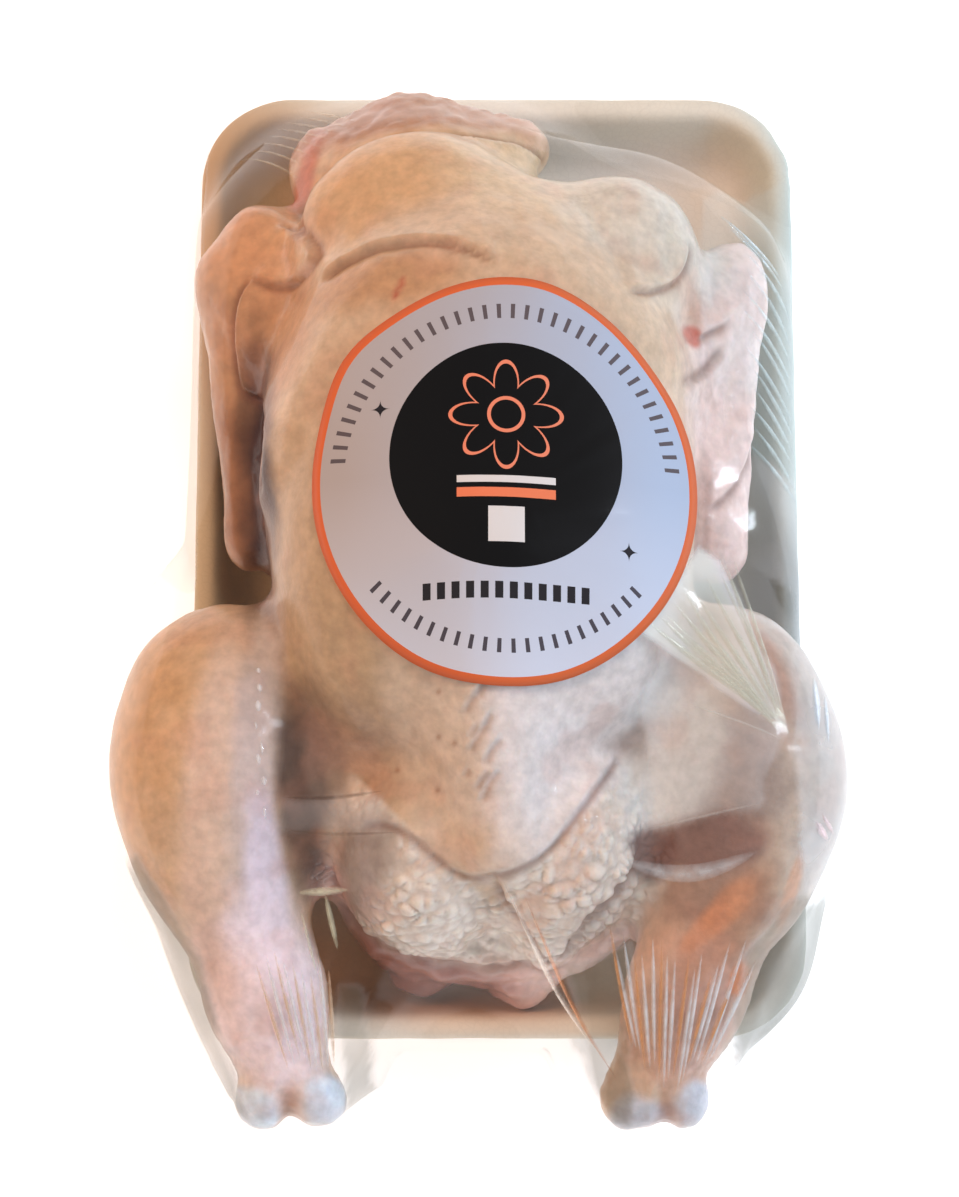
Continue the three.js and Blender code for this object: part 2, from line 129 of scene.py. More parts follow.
def crease(places, start, end, half_width):
    """1 on a straight line seen from above, from start to end, fading out sideways and at its ends."""
    start, end = np.array(start, float), np.array(end, float)
    length = np.linalg.norm(end - start)
    way = (end - start) / length
    off = places[:, :2] - start
    along = off @ way
    side = off @ np.array([-way[1], way[0]])
    return np.exp(-((side / half_width) ** 2)) * ramp(along, -half_width, half_width * 2) * (
        1 - ramp(along, length - half_width * 2, length + half_width))


KEEL_END = (-2.0, -97.5)
KEEL_FLARE = 0.32


def keel_line(x):
    """Y of the lower edge of the breast skin, a rounded point over the belly fat."""
    return KEEL_END[1] + KEEL_FLARE * np.abs(x - KEEL_END[0]) ** 1.3


# In parts of a pebble's own size: how far its dome reaches, and how steeply it drops to the seam
PEBBLE_REACH = 0.8
PEBBLE_SEAM = 3.5


def pebbles(places, size, wanted):
    """Rounded bumps that crowd together: 1 at the heart of each, 0 in the seams between them."""
    rise = np.zeros(len(places))
    for i in np.flatnonzero(wanted > 0.01):
        near = noise.voronoi(Vector(places[i] / size))[0]
        seam = min(1.0, (near[1] - near[0]) * PEBBLE_SEAM)
        rise[i] = max(0.0, 1 - (near[0] / PEBBLE_REACH) ** 2) * seam * (2 - seam)
    return rise


def bend(line):
    """A line of points with its corners cut twice, so that it runs in a smooth bend."""
    line = np.array(line, float)
    for cut in range(2):
        inner = [[a * 0.75 + b * 0.25, a * 0.25 + b * 0.75] for a, b in zip(line[:-1], line[1:])]
        line = np.concatenate([line[:1], np.concatenate(inner), line[-1:]])
    return line


# The lip of a fold: half the width of its step, and how wide the shaded gap under it is
LIP = 0.9
LIP_GAP = 1.1


def fold_edge(places, line, height, width, drop=1.0, drop_width=1.6, end_fade=5.0):
    """The edge of a fold that lies along line, seen from above, raised on the left of the way it runs.
    Gives how far each point rises or sinks, and how deep in the gap under the edge it lies."""
    line = bend(line)
    nearest = np.full(len(places), 1e9)
    side, run = np.ones(len(places)), np.zeros(len(places))
    covered = 0.0
    for start, end in zip(line[:-1], line[1:]):
        way = end - start
        length = np.linalg.norm(way)
        off = places[:, :2] - start
        t = np.clip(off @ way / length ** 2, 0, 1)
        distance = np.linalg.norm(off - t[:, None] * way, axis=1)
        closer = distance < nearest
        nearest[closer] = distance[closer]
        side[closer] = np.sign(way[0] * off[closer, 1] - way[1] * off[closer, 0])
        run[closer] = covered + t[closer] * length
        covered += length
    ends = ramp(run, 0, end_fade) * ramp(covered - run, 0, end_fade)
    over = ramp(side * nearest, -LIP, LIP)
    raised = height * np.exp(-nearest / width) * over
    sunk = drop * np.exp(-nearest / drop_width) * (1 - over)
    return (raised - sunk) * ends, np.exp(-(((side * nearest + LIP) / LIP_GAP) ** 2)) * ends


def relax(places, edges, rounds, pull=0.6):
    """Places drawn again and again towards the mean of their neighbours, by the share pull."""
    ends = edges.ravel()
    others = edges[:, ::-1].ravel()
    share = np.bincount(ends, minlength=len(places))[:, None]
    for step in range(rounds):
        total = np.stack([np.bincount(ends, weights=places[others, axis], minlength=len(places))
                          for axis in range(3)], 1)
        places = places + pull * (total / share - places)
    return places


bird = piece_from(merged("chicken"), "chicken_skin")
modify(bird, "SUBSURF", levels=1, render_levels=1)
modify(bird, "REMESH", mode="VOXEL", voxel_size=SKIN_VOXEL * MM)
modify(bird, "SMOOTH", factor=0.5, iterations=SKIN_EVENING)
settle(bird)

# Finer mesh where the skin is most worked, as centre and reach: belly, keel, skin folds, wings and leg ends
FINE_SPOTS = [((-2, -86, 62), (48, 32, 40)), ((0, -45, 95), (26, 34, 25)), ((-20, 60, 84), (31, 12, 22)),
              ((42, 60, 80), (16, 16, 24)), ((-62, 48, 56), (16, 36, 24)), ((60, 32, 56), (14, 40, 24)),
              ((-53, -140, 45), (20, 22, 25)), ((41, -140, 45), (20, 22, 25))]
places, facing = points_of(bird)
fine = np.max([patch(places, centre, reach, soft=0.01) for centre, reach in FINE_SPOTS], axis=0) > 0.5
bm = bmesh.new()
bm.from_mesh(bird.data)
bm.verts.ensure_lookup_table()
fine_edges = [e for e in bm.edges if fine[e.verts[0].index] and fine[e.verts[1].index]]
bmesh.ops.subdivide_edges(bm, edges=fine_edges, cuts=1, use_grid_fill=True)
bmesh.ops.triangulate(bm, faces=[f for f in bm.faces if len(f.verts) > 4])
bm.to_mesh(bird.data)
bm.free()

places, facing = points_of(bird)
x, y, z = places.T
edges = np.empty(len(bird.data.edges) * 2, int)
bird.data.edges.foreach_get("vertices", edges)
edges = edges.reshape(-1, 2)
HOLLOW_ROUNDS = 70
hollow = np.einsum("ij,ij->i", relax(places, edges, HOLLOW_ROUNDS) - places, facing)
seen = ramp(facing[:, 2], 0.0, 0.35)
rough_edge = 0.16 * grain(places, 7)
belly = (ramp(keel_line(x) - y, 0, 3)
         * patch(places, (-3, -88, 62), (44, 28, 44), soft=0.12, ragged=rough_edge * 0.5))
flank = patch(places, (44, -62, 66), (13, 26, 34), turn=-14, ragged=rough_edge)
hocks = np.maximum(patch(places, (-53, -143, 46), (24, 22, 24)),
                   patch(places, (41, -146, 46), (24, 22, 24)))
shins = np.maximum(patch(places, (-60, -122, 46), (28, 30, 30), turn=18),
                   patch(places, (52, -125, 46), (28, 30, 30), turn=-18))
wings = np.maximum(patch(places, (-72, 36, 48), (18, 62, 44)),
                   patch(places, (64, 34, 50), (17, 60, 44)))
flap = ramp(y, 54, 60) * ramp(z, 58, 66) * (1 - ramp(np.abs(x - 2), 52, 60))
neck = patch(places, (-30, 114, 42), (44, 13, 24), turn=4)
vent = patch(places, (0, -116, 30), (46, 24, 24), ragged=rough_edge)

# Soft relief: where, height, size of its swellings, shift of the noise
SKIN_RELIEF = [(1, 0.5, 17, 0), (1, 0.2, 6.5, 9), (flank, 0.35, (2.6, 7, 5), 4), (hocks, 0.25, 3.2, 2),
               (wings, 0.5, (4, 9, 6), 6), (neck, 0.6, 4, 7), (vent, 1.5, (7, 5, 5), 5),
               (vent, 0.6, 2.8, 12), (flap, 0.3, (4.5, 12, 8), 8)]
rise = sum(where * height * grain(places, np.array(size), shift)
           for where, height, size, shift in SKIN_RELIEF)
# Pebbled skin on shins, wings and neck: where, height, size of a pebble, the level that stays put
for where, height, size, level in [(shins, 0.2, 2.6, 0.5), (wings, 0.15, 3.0, 0), (neck, 0.7, 4.6, 0)]:
    rise += where * height * (pebbles(places, size, where) - level)
# The belly fat: crowded lobes of two sizes, pushed about so that they lie in no order
FAT_LOBE = 3.7
SMALL_LOBE = 2.3
drift = np.stack([grain(places, 6, shift) for shift in (0.0, 20.0, 40.0)], 1)
fat_lobes = pebbles(places + 1.6 * drift, FAT_LOBE, belly)
small_lobes = pebbles(places + 1.2 * drift, SMALL_LOBE, belly)
lobe_size = np.clip(0.75 + 0.9 * grain(places, 8, 3.0), 0.15, 1.3)
SMOOTH_FAT = ((-34, -90, 70), (9, 13, 30), -20)
lobed = belly * (1 - 0.85 * patch(places, *SMOOTH_FAT, soft=0.5))
rise += lobed * (1.3 * fat_lobes * lobe_size + 0.25 * small_lobes - 0.5)

# Where one layer of skin lies over the next: lines seen from above, then each line's height, width and drop
LEFT_FLAP_EDGE = [(-45.8, 55.8), (-40.2, 60.1), (-32.6, 62.3), (-24.9, 62.8), (-17.3, 62.5), (-10.9, 60.6),
                  (-4.5, 58.0), (0.6, 55.3)]
RIGHT_FLAP_EDGE = [(31.3, 51.7), (38.0, 54.1), (45.4, 58.9), (48.6, 64.8), (49.4, 72.0)]
FLAP_OVER_NECK = [(14.8, 98.5), (11.1, 104.3), (-4.5, 104.1), (-19.8, 102.9), (-29.3, 100.4), (-45.4, 95.1),
                  (-46.6, 89.3), (-51.0, 77.6), (-49.1, 70.2)]
LEFT_WING_LOBE = [(-65.4, 67.5), (-61.7, 64.2), (-56.9, 62.0), (-51.7, 62.0), (-46.0, 64.8), (-46.6, 67.5),
                  (-51.9, 76.1), (-58.5, 81.4)]
LEFT_ARM_EDGE = [(-63.2, 66.8), (-68.0, 59.0), (-68.4, 48.5), (-67.5, 38.1), (-65.3, 35.4), (-61.6, 33.5),
                 (-59.6, 27.0), (-59.0, 14.0), (-60.0, 2.0)]
RIGHT_WING_LOBE = [(50.5, 46.5), (53.7, 49.5), (57.4, 51.7), (61.7, 55.0)]
RIGHT_ARM_RIDGE = [(60.4, 47.4), (53.2, 38.4), (47.0, 29.9)]
RIGHT_ARM_EDGE = [(53.3, 4.5), (58.1, 7.8), (62.6, 13.4), (66.1, 21.3), (68.6, 31.0)]
BREAST_EDGE = [(-35.4, -81.3), (-26.8, -80.8), (-14.4, -90.1), (-9.9, -93.5), (-3.5, -94.5), (7.9, -92.3),
               (15.3, -85.3), (25.3, -70.8), (30.3, -62.0)]
BELLY_EDGE = [(-42.5, -87.7), (-38.6, -97.4), (-31.0, -105.5), (-20.9, -110.6), (-7.0, -112.6),
              (5.6, -111.3), (14.4, -113.1), (19.5, -106.3), (25.9, -100.4), (31.0, -94.8), (35.1, -87.1)]
BELLY_SLIT = [(-2.0, -93.2), (5.5, -102.5), (11.7, -110.1), (16.0, -114.3)]
SKIN_EDGES = [(LEFT_FLAP_EDGE, 1.9, 5.0, 1.5), (RIGHT_FLAP_EDGE, 1.6, 5.0, 1.3),
              (FLAP_OVER_NECK, 1.3, 5.0, 1.6), (LEFT_WING_LOBE, 1.8, 6.0, 1.4),
              (LEFT_ARM_EDGE, 1.2, 6.0, 2.2), (RIGHT_WING_LOBE, 1.5, 5.0, 1.3),
              (RIGHT_ARM_RIDGE, 1.2, 3.0, 1.2), (RIGHT_ARM_EDGE, 1.2, 5.0, 1.4),
              (BREAST_EDGE, 0.9, 5.0, 0.5), (BELLY_EDGE, 0.8, 4.0, 2.0), (BELLY_SLIT, 1.8, 3.0, 1.8)]
under_edge = np.zeros(len(places))
for line, height, width, drop in SKIN_EDGES:
    step, gap = fold_edge(places, line, height, width, drop)
    rise += seen * step
    under_edge = np.maximum(under_edge, seen * gap)

# Slanted wrinkles where the breast skin creeps along the keel, uneven by sines that fall out of step
WRINKLES = 13
WRINKLE_HEIGHT = 0.8
wrinkle_shade = np.zeros(len(places))
for i in range(WRINKLES):
    step = i / (WRINKLES - 1)
    low = np.array([-6.5 + 2.8 * math.sin(i * 2.3), -42.5 - 36.0 * step])
    reach = 5.5 + 2.6 * math.sin(i * 1.7)
    line = [low, low + reach * np.array([0.3 + 0.08 * math.sin(i * 4.1), 0.62]),
            low + reach * np.array([0.7 + 0.15 * math.sin(i * 3.1), 1.0])]
    step, gap = fold_edge(places, line, WRINKLE_HEIGHT, 1.8, WRINKLE_HEIGHT, 1.0, end_fade=1.5)
    rise += seen * step
    wrinkle_shade = np.maximum(wrinkle_shade, seen * gap)

# The gap beside the left wing, then the knuckles and the pits between them
WING_GAP_DEPTH = 3.0
KNUCKLE_RISE = 1.2
KNUCKLE_PIT = 1.6
rise -= WING_GAP_DEPTH * patch(places, (-63, 14, 50), (5, 24, 22), turn=2)
KNUCKLES = [(-61.3, -149.0, 46), (-44.4, -147.0, 46), (35.9, -151.3, 46), (48.8, -148.3, 46)]
for centre in KNUCKLES:
    rise += KNUCKLE_RISE * patch(places, centre, (6.5, 6, 10), soft=0.5)
KNUCKLE_PITS = [(-52.4, -150.0, 50), (42.2, -151.0, 50)]
for centre in KNUCKLE_PITS:
    rise -= KNUCKLE_PIT * patch(places, centre, (2.6, 9, 9), soft=0.8)
place_points(bird, places + facing * rise[:, None])


def linear(hex_code):
    """The linear red, green and blue of an sRGB hex value."""
    channels = [int(hex_code[i:i + 2], 16) / 255 for i in (1, 3, 5)]
    return np.array([c / 12.92 if c <= 0.04045 else ((c + 0.055) / 1.055) ** 2.4 for c in channels])


# The skin's colours, laid on like an airbrush: hex, centre, reach, turn, strength. Most are its own colours;
# the rows noted below are painted shade, painted light or painted reflection.
SKIN_TONES = [
    ("#D2A26E", (-94, -36, 40), (32, 62, 60), 0, 0.85),
    ("#C0A07A", (-38, -30, 70), (30, 56, 50), 0, 0.85),
    ("#E8E0DC", (19, -44, 98), (31, 60, 50), 0, 0.95),
    ("#DCC8B2", (-16, -52, 98), (12, 42, 40), 4, 0.7),
    # Painted shade beside the left breast, towards the valley
    ("#B4947A", (-37, -66, 76), (13, 15, 30), 0, 0.65),
    # Painted reflection of the film, pale grey on the outer right thigh
    ("#C8BCB0", (82, -50, 42), (28, 66, 56), 0, 0.9),
    # Painted light: the lit ridge down the inner left leg, lavender from the cool window lower down
    ("#E4C8B4", (-70, -74, 78), (8, 44, 40), -6, 0.8),
    ("#CFBCB0", (-60.5, -68, 78), (6, 46, 40), -4, 0.95),
    ("#E6DCEA", (-57.5, -98, 70), (5, 26, 30), 4, 0.8),
    ("#FAEAF0", (-58, -122, 60), (15, 26, 26), 12, 0.9),
    ("#E4C2B0", (-72, -108, 50), (5, 26, 26), 16, 0.6),
    ("#D8B5A0", (50, -118, 46), (24, 30, 34), -18, 0.8),
    ("#CCA494", (50, -124, 58), (9, 20, 26), -8, 0.8),
    # Painted shade on the inner right thigh, in the valley by the flank
    ("#9A877C", (55, -69, 78), (18, 17, 30), 0, 0.9),
    ("#B8886C", (66, -42, 80), (6, 16, 30), 24, 0.8),
    ("#A08070", (54, -98, 72), (16, 10, 26), 0, 0.8),
    ("#B98462", (57, -105, 66), (6, 20, 24), -36, 0.6),
    ("#E49A6C", (52.5, -105.5, 70), (9, 3.0, 24), 37, 0.5),
    ("#E49A6C", (57.5, -101.0, 70), (8, 3.6, 24), 44, 0.5),
    ("#E0A078", (73, -97, 68), (9, 1.7, 24), 74, 0.6),
    ("#E88848", (60.6, -118, 60), (2.6, 4.4, 16), -20, 0.7),
    ("#C08C62", (-74, 40, 48), (20, 64, 44), 0, 0.85),
    ("#E0A679", (-62, 74, 54), (20, 14, 24), -40, 0.7),
    ("#A06C48", (-76, 12, 44), (12, 26, 30), 0, 0.8),
    ("#C8946A", (-54, 44, 72), (9, 20, 30), 0, 0.8),
    ("#F0DCD6", (64, 38, 50), (18, 62, 44), 0, 0.9),
    # Painted light that lifts the shade low on the right wing
    ("#FFDCD0", (62, 12, 52), (12, 22, 30), 0, 0.6),
    ("#C07A50", (50, 60, 52), (3, 14, 24), 6, 0.85),
    ("#C8604A", (50, 47.5, 66), (3, 3, 10), 0, 0.9),
    ("#DDB080", (-26, 84, 66), (30, 26, 30), 0, 0.9),
    ("#DCC09A", (6, 84, 68), (24, 28, 30), 0, 0.85),
    ("#DCD6C8", (34, 76, 66), (24, 26, 30), 0, 0.9),
    ("#C8986C", (-26, 52, 92), (24, 9, 20), 2, 0.9),
    ("#AC6C3C", (-26, 114, 42), (48, 13, 24), 4, 0.9),
    ("#C2694A", (-51, 96, 44), (4, 17, 14), -14, 0.85),
    # Painted shadow in the gaps beside the left and right wings
    ("#46200C", (-61, 10, 62), (7.2, 37, 36), 2, 1.0),
    ("#9A6A54", (52.5, 4, 50), (3.2, 18, 24), -4, 0.5),
    ("#ECB8A8", (0, -116, 28), (50, 20, 24), 0, 0.95),
    ("#96584A", (-22, -110, 30), (28, 12, 18), -12, 0.85),
    # Painted light that lifts the shade on the right of the vent
    ("#FFE4DA", (24, -110, 38), (18, 9, 20), 24, 0.9),
]
# Painted shade in the deep places, laid on last: the dark band on the inner right thigh, the right groin, the
# left valley and beside it; one row is painted light that lifts the shaded left of the vent
DEEP_SHADE_AND_LIFT = [
    ("#88695F", (52, -86, 78), (17, 7, 26), 4, 0.95),
    ("#7E5A50", (38.5, -87, 68), (6, 7, 20), 10, 0.8),
    # Painted light that lifts the shade on the left of the vent
    ("#F0C4B8", (-43, -93, 46), (6, 9, 22), 30, 0.85),
    ("#4A3229", (-49.0, -72, 70), (6.5, 25, 26), 4, 0.9),
    ("#8E7868", (-43, -66, 72), (5, 20, 26), 8, 0.6),
]


def airbrush(tone, hex_code, strength):
    """Lays a colour over tone, by a strength at each point."""
    return tone + (linear(hex_code) - tone) * np.clip(strength, 0, 1)[:, None]


def spray(tone, rows, **edge):
    """Airbrushes each row's colour over its own ellipsoid."""
    for hex_code, centre, reach, turn, strength in rows:
        tone = airbrush(tone, hex_code, strength * patch(places, centre, reach, turn, **edge))
    return tone


tone = spray(np.tile(linear("#DABD9E"), (len(places), 1)), SKIN_TONES, ragged=rough_edge)
tone = airbrush(tone, "#F2E8DA", 0.95 * belly)
# Painted shade in the seams between the belly's fat lobes
tone = airbrush(tone, "#CDB6A4", 0.5 * lobed * (1 - fat_lobes))
tone = airbrush(tone, "#938278", 0.8 * belly * patch(places, (-34, -90, 70), (9, 13, 40), -20, soft=0.5))
tone = airbrush(tone, "#DEE4E2", 0.75 * flank)
FAT_SPOTS = [((5, 73, 80), (3.5, 3, 9)), ((9, 68, 82), (3, 4, 9)), ((3, 64, 84), (4, 3, 9)),
             ((10, 61, 84), (3, 3, 9))]
for centre, reach in FAT_SPOTS:
    tone = airbrush(tone, "#D6A850", 0.6 * patch(places, centre, reach, ragged=rough_edge * 1.5))
for centre in KNUCKLES:
    gristle = 0.95 * patch(places, centre, (7.5, 6.5, 12), soft=0.25, ragged=rough_edge)
    tone = airbrush(tone, "#E2F0FC" if centre[0] < 0 else "#C8CCD4", gristle)
# Painted shade in the pits between the knuckles
for centre in KNUCKLE_PITS:
    tone = airbrush(tone, "#8A5A4C", 0.55 * patch(places, centre, (2.2, 6, 8), soft=0.8, ragged=rough_edge))
tone = spray(tone, DEEP_SHADE_AND_LIFT, ragged=rough_edge)
# Shade in the hollows and gaps, then a vein under the thin skin and the marks of a few feather roots
tone = airbrush(tone, "#7E5640", 0.75 * ramp(hollow, 0.5, 2.6) * (1 - 0.8 * belly))
tone = airbrush(tone, "#7C4C36", 0.6 * under_edge)
tone = airbrush(tone, "#9A7460", 0.45 * wrinkle_shade)
vein = crease(places, (-26.0, 46.0), (-23.5, 52.0), 0.7)
tone = airbrush(tone, "#B5492F", 0.8 * vein * ramp(z, 70, 76))
FOLLICLES = [(-14.0, -36), (-14.6, -52), (-14.5, -62), (-10.5, -46), (-10.6, -64), (-25, -68), (-15, -74)]
FOLLICLE_RADIUS = math.sqrt(0.5)
for spot in FOLLICLES:
    dot = np.exp(-(((x - spot[0]) ** 2 + (y - spot[1]) ** 2) / FOLLICLE_RADIUS ** 2))
    tone = airbrush(tone, "#8E5A34", 0.6 * dot * ramp(z, 60, 70))
# Painted warm shade low on the left side, where the skin faces down, and faintly blotched all over
left_underside_shade = (1 - ramp(facing[:, 2], -0.2, 0.5)) * ramp(-x, 10, 40) * (1 - belly)
tone = airbrush(tone, "#A8744C", 0.55 * left_underside_shade)
blotches = ramp(grain(places, 13, 21.0) + 0.4 * grain(places, 5, 22.0), 0.05, 0.5)
tone = airbrush(tone, "#C88E74", 0.22 * blotches)
tone *= (1 + 0.06 * grain(places, 11, 1.0))[:, None]
moist = np.clip(0.35 + 0.5 * np.max([belly, flank, vent, hocks], axis=0), 0, 1)


def store(piece, name, values):
    """Keeps a number, or a colour, for each point of the piece under that name."""
    kind = "FLOAT_COLOR" if values.ndim == 2 else "FLOAT"
    layer = piece.data.attributes.new(name, kind, "POINT")
    if values.ndim == 2:
        layer.data.foreach_set("color", np.column_stack([values, np.ones(len(values))]).ravel())
    else:
        layer.data.foreach_set("value", values)


store(bird, "tone", np.clip(tone, 0, 1))
store(bird, "moist", moist)


def add(material, kind, settings=None, inputs=None):
    """Adds a shader node, sets its properties, then its inputs; a node as input means its first output."""
    node = material.node_tree.nodes.new("ShaderNode" + kind)
    for key, value in (settings or {}).items():
        setattr(node, key, value)
    for key, value in (inputs or {}).items():
        value = value.outputs[0] if isinstance(value, bpy.types.Node) else value
        if isinstance(value, bpy.types.NodeSocket):
            material.node_tree.links.new(value, node.inputs[key])
        else:
            node.inputs[key].default_value = value
    return node


def new_material(name, slot_of=None):
    """An empty node material; slot_of is the piece that wears it."""
    material = bpy.data.materials.new(name)
    material.use_nodes = True
    material.node_tree.nodes.clear()
    if slot_of:
        slot_of.data.materials.clear()
        slot_of.data.materials.append(material)
        slot_of.data.polygons.foreach_set("use_smooth", [True] * len(slot_of.data.polygons))
    return material


# Raw poultry skin, plucked and chilled: thin, moist and see-through, so light sinks in and comes out warm.
# Fine goose bumps about 1.6 mm apart and a web of creases under 1 mm break up its wet shine.
skin = new_material("plucked_raw_poultry_skin", bird)
GOOSE_BUMP = 1.6
CREASE_WEB = 0.9
MOTTLE = 3.2
spot = add(skin, "TexCoord").outputs["Object"]
tone_node = add(skin, "Attribute", {"attribute_name": "tone"})
moist_node = add(skin, "Attribute", {"attribute_name": "moist"})
mottle = add(skin, "TexNoise", inputs={"Vector": spot, "Scale": 1 / (MOTTLE * MM), "Detail": 2.0,
                                       "Roughness": 0.55})
mottle_amount = add(skin, "MapRange", inputs={"Value": mottle, "From Min": 0.3, "From Max": 0.7,
                                              "To Min": 0.86, "To Max": 1.08})
mottled = add(skin, "VectorMath", {"operation": "SCALE"}, {0: tone_node, "Scale": mottle_amount})
bumps = add(skin, "TexVoronoi", {"feature": "F1"}, {"Vector": spot, "Scale": 1 / (GOOSE_BUMP * MM)})
web = add(skin, "TexNoise", inputs={"Vector": spot, "Scale": 1 / (CREASE_WEB * MM), "Detail": 3.0,
                                    "Roughness": 0.62})
goose = add(skin, "Bump", inputs={"Height": bumps, "Strength": 0.22, "Distance": 0.25 * MM})
creased = add(skin, "Bump", inputs={"Height": web, "Strength": 0.35, "Distance": 0.3 * MM, "Normal": goose})
wetness = moist_node.outputs["Fac"]
skin_rough = add(skin, "MapRange", inputs={"Value": wetness, "To Min": 0.46, "To Max": 0.26})
skin_shader = add(skin, "BsdfPrincipled", {"subsurface_method": "RANDOM_WALK"}, {
    "Base Color": mottled, "Roughness": skin_rough, "IOR": 1.4, "Subsurface Weight": 0.16,
    "Subsurface Radius": (1.0, 0.42, 0.25), "Subsurface Scale": 2.6 * MM, "Coat Weight": 0.35,
    "Coat Roughness": 0.1, "Normal": creased})
add(skin, "OutputMaterial", inputs={"Surface": skin_shader})
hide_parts("chicken")
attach(bird, "root")

# The foam tray
# A shallow tray with rounded corners and a rolled rim, thermoformed from expanded polystyrene sheet.
# The bird lies in it, and its rim shows round the neck end, down the right side and between the legs.

tray_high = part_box("foam_tray")[1]
# A little over the solid, because the subdivision draws the rim in
TRAY_SPARE = 0.6
TRAY_HALF_X = tray_high.x / MM + TRAY_SPARE
TRAY_HALF_Y = tray_high.y / MM + TRAY_SPARE
TRAY_RIM = tray_high.z / MM
TRAY_CORNER = 25.0
TRAY_FLOOR = 4.5
CORNER_POINTS = 14
SIDE_POINTS = 16
# Height and inset of the tray's section in mm: under the foot, up the outside, over the rim and down inside
TRAY_SECTION = [(0, 19), (0.9, 16), (2.2, 14.1), (4, 12.6), (9, 9.8), (14, 7.6), (TRAY_RIM - 6.5, 4.6),
                (TRAY_RIM - 5.2, 2.4), (TRAY_RIM - 4.2, 0.9), (TRAY_RIM - 2.6, 0.6), (TRAY_RIM - 0.9, 1.0),
                (TRAY_RIM - 0.1, 2.4), (TRAY_RIM - 0.1, 4.6), (TRAY_RIM - 0.9, 6.0), (TRAY_RIM - 2.5, 7.2),
                (22, 8.4), (17, 10.2), (13, 11.8), (9.5, 13.6), (7, 15.8), (5.4, 18.6), (TRAY_FLOOR, 22),
                (TRAY_FLOOR, 34), (TRAY_FLOOR, 50)]


def tray_outline(inset):
    """The tray's rounded rectangle, moved in by inset, as points: four arcs and the sides between them."""
    radius = max(TRAY_CORNER - inset, 5.0)
    half = np.array([TRAY_HALF_X, TRAY_HALF_Y]) - inset - radius
    arcs = []
    for quarter, side in enumerate([(1, 1), (-1, 1), (-1, -1), (1, -1)]):
        turns = [quarter * math.pi / 2 + i / CORNER_POINTS * math.pi / 2 for i in range(CORNER_POINTS + 1)]
        arcs.append(half * side + radius * np.array([(math.cos(a), math.sin(a)) for a in turns]))
    points = []
    for arc, following in zip(arcs, arcs[1:] + arcs[:1]):
        along = following[0] - arc[-1]
        points += [*arc, *(arc[-1] + along * i / SIDE_POINTS for i in range(1, SIDE_POINTS))]
    return points


def shape_ring(verts, height, inset):
    """Moves a ring of vertices to one level of the tray's section."""
    for vert, point in zip(verts, tray_outline(inset)):
        vert.co = Vector((point[0], point[1], height)) * MM


bm = bmesh.new()
ring = bmesh.ops.create_circle(bm, segments=len(tray_outline(0)), radius=0.1, cap_ends=True)["verts"]
shape_ring(ring, *TRAY_SECTION[0])
for height, inset in TRAY_SECTION[1:]:
    count = len(ring)
    edges = [bm.edges.get((ring[i], ring[(i + 1) % count])) for i in range(count)]
    made = bmesh.ops.extrude_edge_only(bm, edges=edges)["geom"]
    fresh = [v for v in made if isinstance(v, bmesh.types.BMVert)]
    partner = {edge.other_vert(vert): vert for vert in fresh for edge in vert.link_edges}
    ring = [partner[v] for v in ring]
    shape_ring(ring, height, inset)
bmesh.ops.contextual_create(bm, geom=ring)
bmesh.ops.recalc_face_normals(bm, faces=bm.faces)
bmesh.ops.triangulate(bm, faces=[f for f in bm.faces if len(f.verts) > 4])
tray = piece_from(bm, "expanded_foam_tray")
modify(tray, "SUBSURF", levels=1, render_levels=1)
settle(tray)
places, facing = points_of(tray)
rim_zone = ramp(places[:, 2], TRAY_RIM - 12, TRAY_RIM - 2)
right_side = ramp(places[:, 0], 60, 74)
# Shallow dents, deeper on the right rim where the film pulls, and none under the foot
dents = 0.22 * grain(places, 13)
dents += rim_zone * right_side * 0.5 * grain(places, np.array([9.0, 5.0, 5.0]), 3.0)
place_points(tray, places + facing * (np.minimum(dents, 0.1) * ramp(places[:, 2], 0.5, 4))[:, None])

# The foam's own cream, with painted warm light and painted shade at the left side and far-left corner, a
# paler far-right floor, painted cool light on the right side, a grey patch on the right wall, and painted
# warm light in the shade of the floor between the legs
TRAY_TONES = [
    # Painted warm light down the left side, and painted shade on the floor and rim of the far-left corner
    ("#CDB48A", (-84, 40, 20), (40, 120, 40), 0, 0.85),
    ("#B88A58", (-62, 84, 8), (34, 44, 13), 0, 0.85),
    ("#CCA070", (-72, 92, 20), (22, 40, 30), 0, 0.8),
    ("#F4EEE6", (52, 104, 6), (36, 28, 12), 0, 0.9),
    # Painted cool light on the right side
    ("#C2D2CC", (84, 20, 30), (20, 110, 40), 0, 0.8),
    ("#A9ABA8", (76, -16, 24), (16, 24, 30), 0, 0.7),
    # Painted warm light in the shade of the floor between the legs
    ("#FFC898", (-10, -108, 8), (60, 26, 20), 0, 1.0),
]
tray_tone = spray(np.tile(linear("#EDEADB"), (len(places), 1)), TRAY_TONES, soft=0.6)
store(tray, "tone", np.clip(tray_tone, 0, 1))

